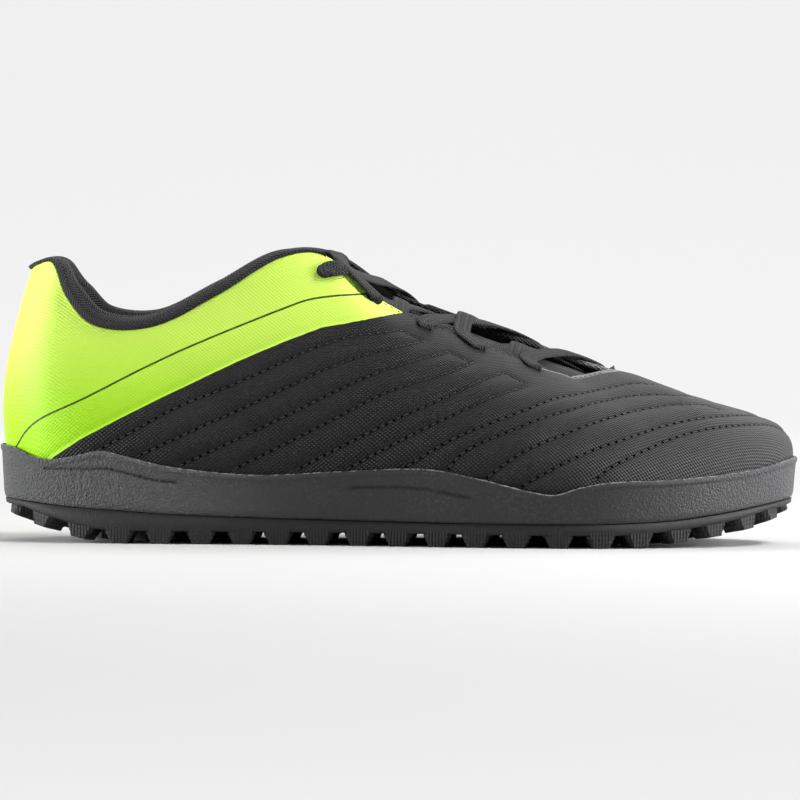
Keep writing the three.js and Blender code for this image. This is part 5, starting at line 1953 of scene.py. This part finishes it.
@dataclass
class Lace:
    """Flat woven lace: crossings over and under the eyestays, down through the eyelets."""

    width: float = 6.5 * MM
    thickness: float = 1.4 * MM
    samples: int = 130
    sides: int = 16
    rounds: int = 10

    def path(self, start: float, end: float, lateral_first: bool, over: bool, lead: float,
             raised: float) -> tuple[Array, Array, Array]:
        """Runs a strap between two eyelets.

        Args:
            start: rib of the first eyelet.
            end: rib of the second eyelet.
            lateral_first: whether the first eyelet is lateral.
            over: whether the strap crosses over the eyestays.
            lead: how soon it runs forwards, where 1 is evenly.
            raised: extra height where it crosses its partner.

        Returns:
            Its points, the vectors across it, and how far it is gathered, from 0 to 1.
        """
        hole = 1 + SIZES.eyelet_from_edge / SIZES.tongue_tuck
        if over:
            half = np.array([1.03, 1.04, 1.06, 1.11, 1.1, 1.02, 0.88, 0.72, 0.55, 0.38, 0.22, 0.08]) * hole
            lift = np.array([-5.5, -3.0, -0.6, 1.0, 1.5, 1.6, 1.5, 1.3, 0.9, 0.3, -0.2, -0.4]) * MM
            gather = np.array([1, 1, 1, 0.9, 0.6, 0, 0, 0, 0, 0, 0, 0])
        else:
            half = np.array([1.0, 0.96, 0.85, 0.7, 0.58, 0.45, 0.3, 0.12]) * hole
            lift = np.array([-2.9, -3.5, -3.8, -3.84, -3.8, -3.6, -3.5, -3.5]) * MM
            gather = np.array([0.6, 0.4, 0.15, 0, 0, 0, 0, 0])
        c = np.concatenate([-half, half[::-1]])
        rise = np.concatenate([lift, lift[::-1]])
        tight = np.concatenate([gather, gather[::-1]])
        share = (c / hole + 1) / 2
        u = start + (end - start) * np.clip(share, 0, 1) ** lead
        c = c if lateral_first else -c
        rise = rise + raised * np.exp(-(((share - 0.5) / (0.13 if raised > 0 else 0.25)) ** 2))
        points = LAST.throat(u, c, rise)
        step = 0.03
        across = LAST.throat(u + step, c, rise) - LAST.throat(u - step, c, rise)
        rows = Spline(np.hstack([points, unit(across) * MM, tight[:, None] * MM]))
        read = rows.read(np.linspace(0, 1, self.samples))
        return read[:, :3], read[:, 3:6], np.clip(read[:, 6] / MM, 0, 1)

    def strap(self, parts: MeshParts, points: Array, across: Array, gather: Array) -> None:
        """Sweeps the lace's section along a path.

        Args:
            parts: what the strap is added to.
            points: the path.
            across: vectors across it.
            gather: how far it is gathered, from 0 to 1.
        """
        for rows in (points, across, gather):
            for _ in range(self.rounds):
                rows[1:-1] += 0.25 * (rows[:-2] + rows[2:] - 2 * rows[1:-1])
        run = unit(np.gradient(points, axis=0))
        across = unit(across - run * (across * run).sum(1, keepdims=True))
        for _ in range(4):
            across[1:-1] = unit(across[:-2] + across[2:] + 2 * across[1:-1])
        across = unit(across - run * (across * run).sum(1, keepdims=True))
        normal = np.cross(run, across)
        angles = np.linspace(0, math.tau, self.sides, endpoint=False)
        flat = np.sign(np.cos(angles)) * np.abs(np.cos(angles)) ** 0.55
        thick = np.sign(np.sin(angles)) * np.abs(np.sin(angles)) ** 0.75
        wide = self.width / 2 * (1 - 0.42 * gather)
        deep = self.thickness / 2 * (1 + 0.5 * gather)
        loops = (points[:, None] + across[:, None] * (flat[None] * wide[:, None])[..., None]
                 + normal[:, None] * (thick[None] * deep[:, None])[..., None])
        length = walked(points)
        around = flat * self.width / 2
        uv = np.stack(np.broadcast_arrays(length[:, None], around[None]), -1)
        first = parts.grid(loops, uv, closed=True)
        parts.ladder(first, self.sides)
        parts.ladder(first + (self.samples - 1) * self.sides, self.sides, flip=True)

    def dress(self) -> None:
        """Builds every crossing and ties them to the frame."""
        weave = FabricFinish("lace_cord", (0.003, 0.003, 0.0032), (0.028, 0.028, 0.030),
                             pitch=1.1 * MM, slant=0.8, depth=0.55 * MM, columns=1.35 * MM,
                             column_depth=0.45).material()
        crossings = (("lace_cross_1", 0, 1, True, 0.45), ("lace_cross_2", 1, 2, False, 1.0),
                     ("lace_cross_3", 2, 3, True, 1.0), ("lace_cross_4", 3, 4, False, 1.0),
                     ("lace_bar", 4, 4, True, 1.0))
        for node, first, second, over, lead in crossings:
            parts = MeshParts()
            from_row, to_row = EYELETS.rows[first], EYELETS.rows[second]
            lowered = -1.6 * MM if first == second else -0.9 * MM if first == 0 else 0.0
            self.strap(parts, *self.path(from_row[0], to_row[1], True, over, lead, lowered))
            if first != second:
                raised = 1.6 * MM if over else 0.5 * MM
                self.strap(parts, *self.path(from_row[1], to_row[0], False, over, 1 / lead, raised))
            hand_in(parts.build(f"{node}_woven", [weave]), "lace_cord", node)


@dataclass
class Studio:
    """Plain pale floor, soft lights and the camera."""

    eye: Colour = (0.0, -1.8, 0.085)
    target: Colour = (0.0, 0.0, 0.0503)
    roll: float = 0.39
    lens: float = 227.6
    near_low: Colour = (0.5, 0.5, 0.5)
    near_high: Colour = (0.52, 0.52, 0.52)
    far: Colour = (0.25, 0.25, 0.25)
    glow: float = 0.75
    ambient: float = 0.06

    def camera(self) -> None:
        """Sets the camera where the photograph was taken from."""
        data = bpy.data.cameras.new("camera")
        data.lens = self.lens
        data.sensor_width = 36.0
        data.clip_end = 20.0
        camera = link("camera", data)
        camera.location = self.eye
        aim = (Vector(self.target) - Vector(self.eye)).to_track_quat("-Z", "Y")
        camera.rotation_mode = "QUATERNION"
        camera.rotation_quaternion = aim @ Quaternion((0, 0, 1), math.radians(self.roll))
        bpy.context.scene.camera = camera

    def floor(self) -> None:
        """Lays a floor that sweeps up behind the shoe."""
        profile = [(-3.0, 0.0), (1.6, 0.0)]
        profile += [(1.6 + 0.9 * math.sin(a), 0.9 - 0.9 * math.cos(a)) for a in np.linspace(0.1, 1.57, 16)]
        profile.append((2.5, 3.5))
        grid = np.array([[(x, y, z) for x in np.linspace(-4, 4, 9)] for y, z in profile])
        parts = MeshParts()
        parts.grid(grid + ORIGIN)
        material, shader, surface, place = new_material("pale_floor")
        cloud = shader.node("ShaderNodeTexNoise", {"Vector": place, "Scale": 3.0})
        depth = shader.node("ShaderNodeSeparateXYZ", {0: place}).outputs["Y"]
        behind = shader.ramp(shader.math("ABSOLUTE", depth), 0.2, 1.3)
        near = shader.mix(cloud.outputs[0], self.near_low, self.near_high)
        shader.put(surface.inputs["Base Color"], shader.mix(behind, near, self.far))
        shader.put(surface.inputs["Emission Strength"], shader.math("MULTIPLY", behind, self.glow))
        surface.inputs["Roughness"].default_value = 0.9
        surface.inputs["Specular IOR Level"].default_value = 0.0
        surface.inputs["Emission Color"].default_value = (1.0, 1.0, 1.0, 1.0)
        floor = parts.build("studio_floor", [material], recalculate=False)

    def light(self, name: str, place: Colour, target: Colour, size: tuple[float, float],
              power: float) -> None:
        """Hangs one soft light.

        Args:
            name: its name.
            place: where it hangs.
            target: where it points.
            size: its two sides.
            power: its power in watts.
        """
        data = bpy.data.lights.new(name, "AREA")
        data.shape = "RECTANGLE"
        data.size, data.size_y = size
        data.energy = power
        light = link(name, data)
        light.location = place
        light.rotation_euler = (Vector(target) - Vector(place)).to_track_quat("-Z", "Y").to_euler()

    def dress(self) -> None:
        """Sets up the whole studio."""
        self.camera()
        self.floor()
        self.light("top", (-0.1, 0.75, 1.15), (0, 0, 0), (1.3, 0.7), 9.5)
        self.light("heel_side", (-1.0, -0.12, 0.26), (-0.1, 0, 0.04), (0.5, 0.4), 13.5)
        self.light("toe_side", (1.0, -0.15, 0.28), (0.1, 0, 0.04), (0.5, 0.45), 14.0)
        self.light("toe_top", (0.75, -0.2, 1.1), (0.1, 0, 0.04), (0.45, 0.4), 17.0)
        self.light("front", (-0.3, -1.9, 0.75), (0, 0, 0.04), (1.0, 0.4), 2.2)
        world = bpy.data.worlds.new("studio")
        world.use_nodes = True
        background = world.node_tree.nodes["Background"]
        background.inputs[0].default_value = (1, 1, 1, 1)
        background.inputs[1].default_value = self.ambient
        bpy.context.scene.world = world
        bpy.context.scene.view_settings.view_transform = "Standard"


def main() -> None:
    """Builds the shoe in order and reports each piece."""
    logging.basicConfig(level=logging.INFO, format="%(name)s %(message)s")
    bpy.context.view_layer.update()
    Studio().dress()
    for effect in (make_twill, make_grain, make_braid, make_dust):
        effect()
    stitches = stitch_nodes()
    Upper().dress(stitches)
    Collar().dress()
    Tongue().dress()
    Insole().dress()
    Cup().dress()
    Tread().dress(lug_nodes())
    Lace().dress()


if __name__ == "__main__":
    main()
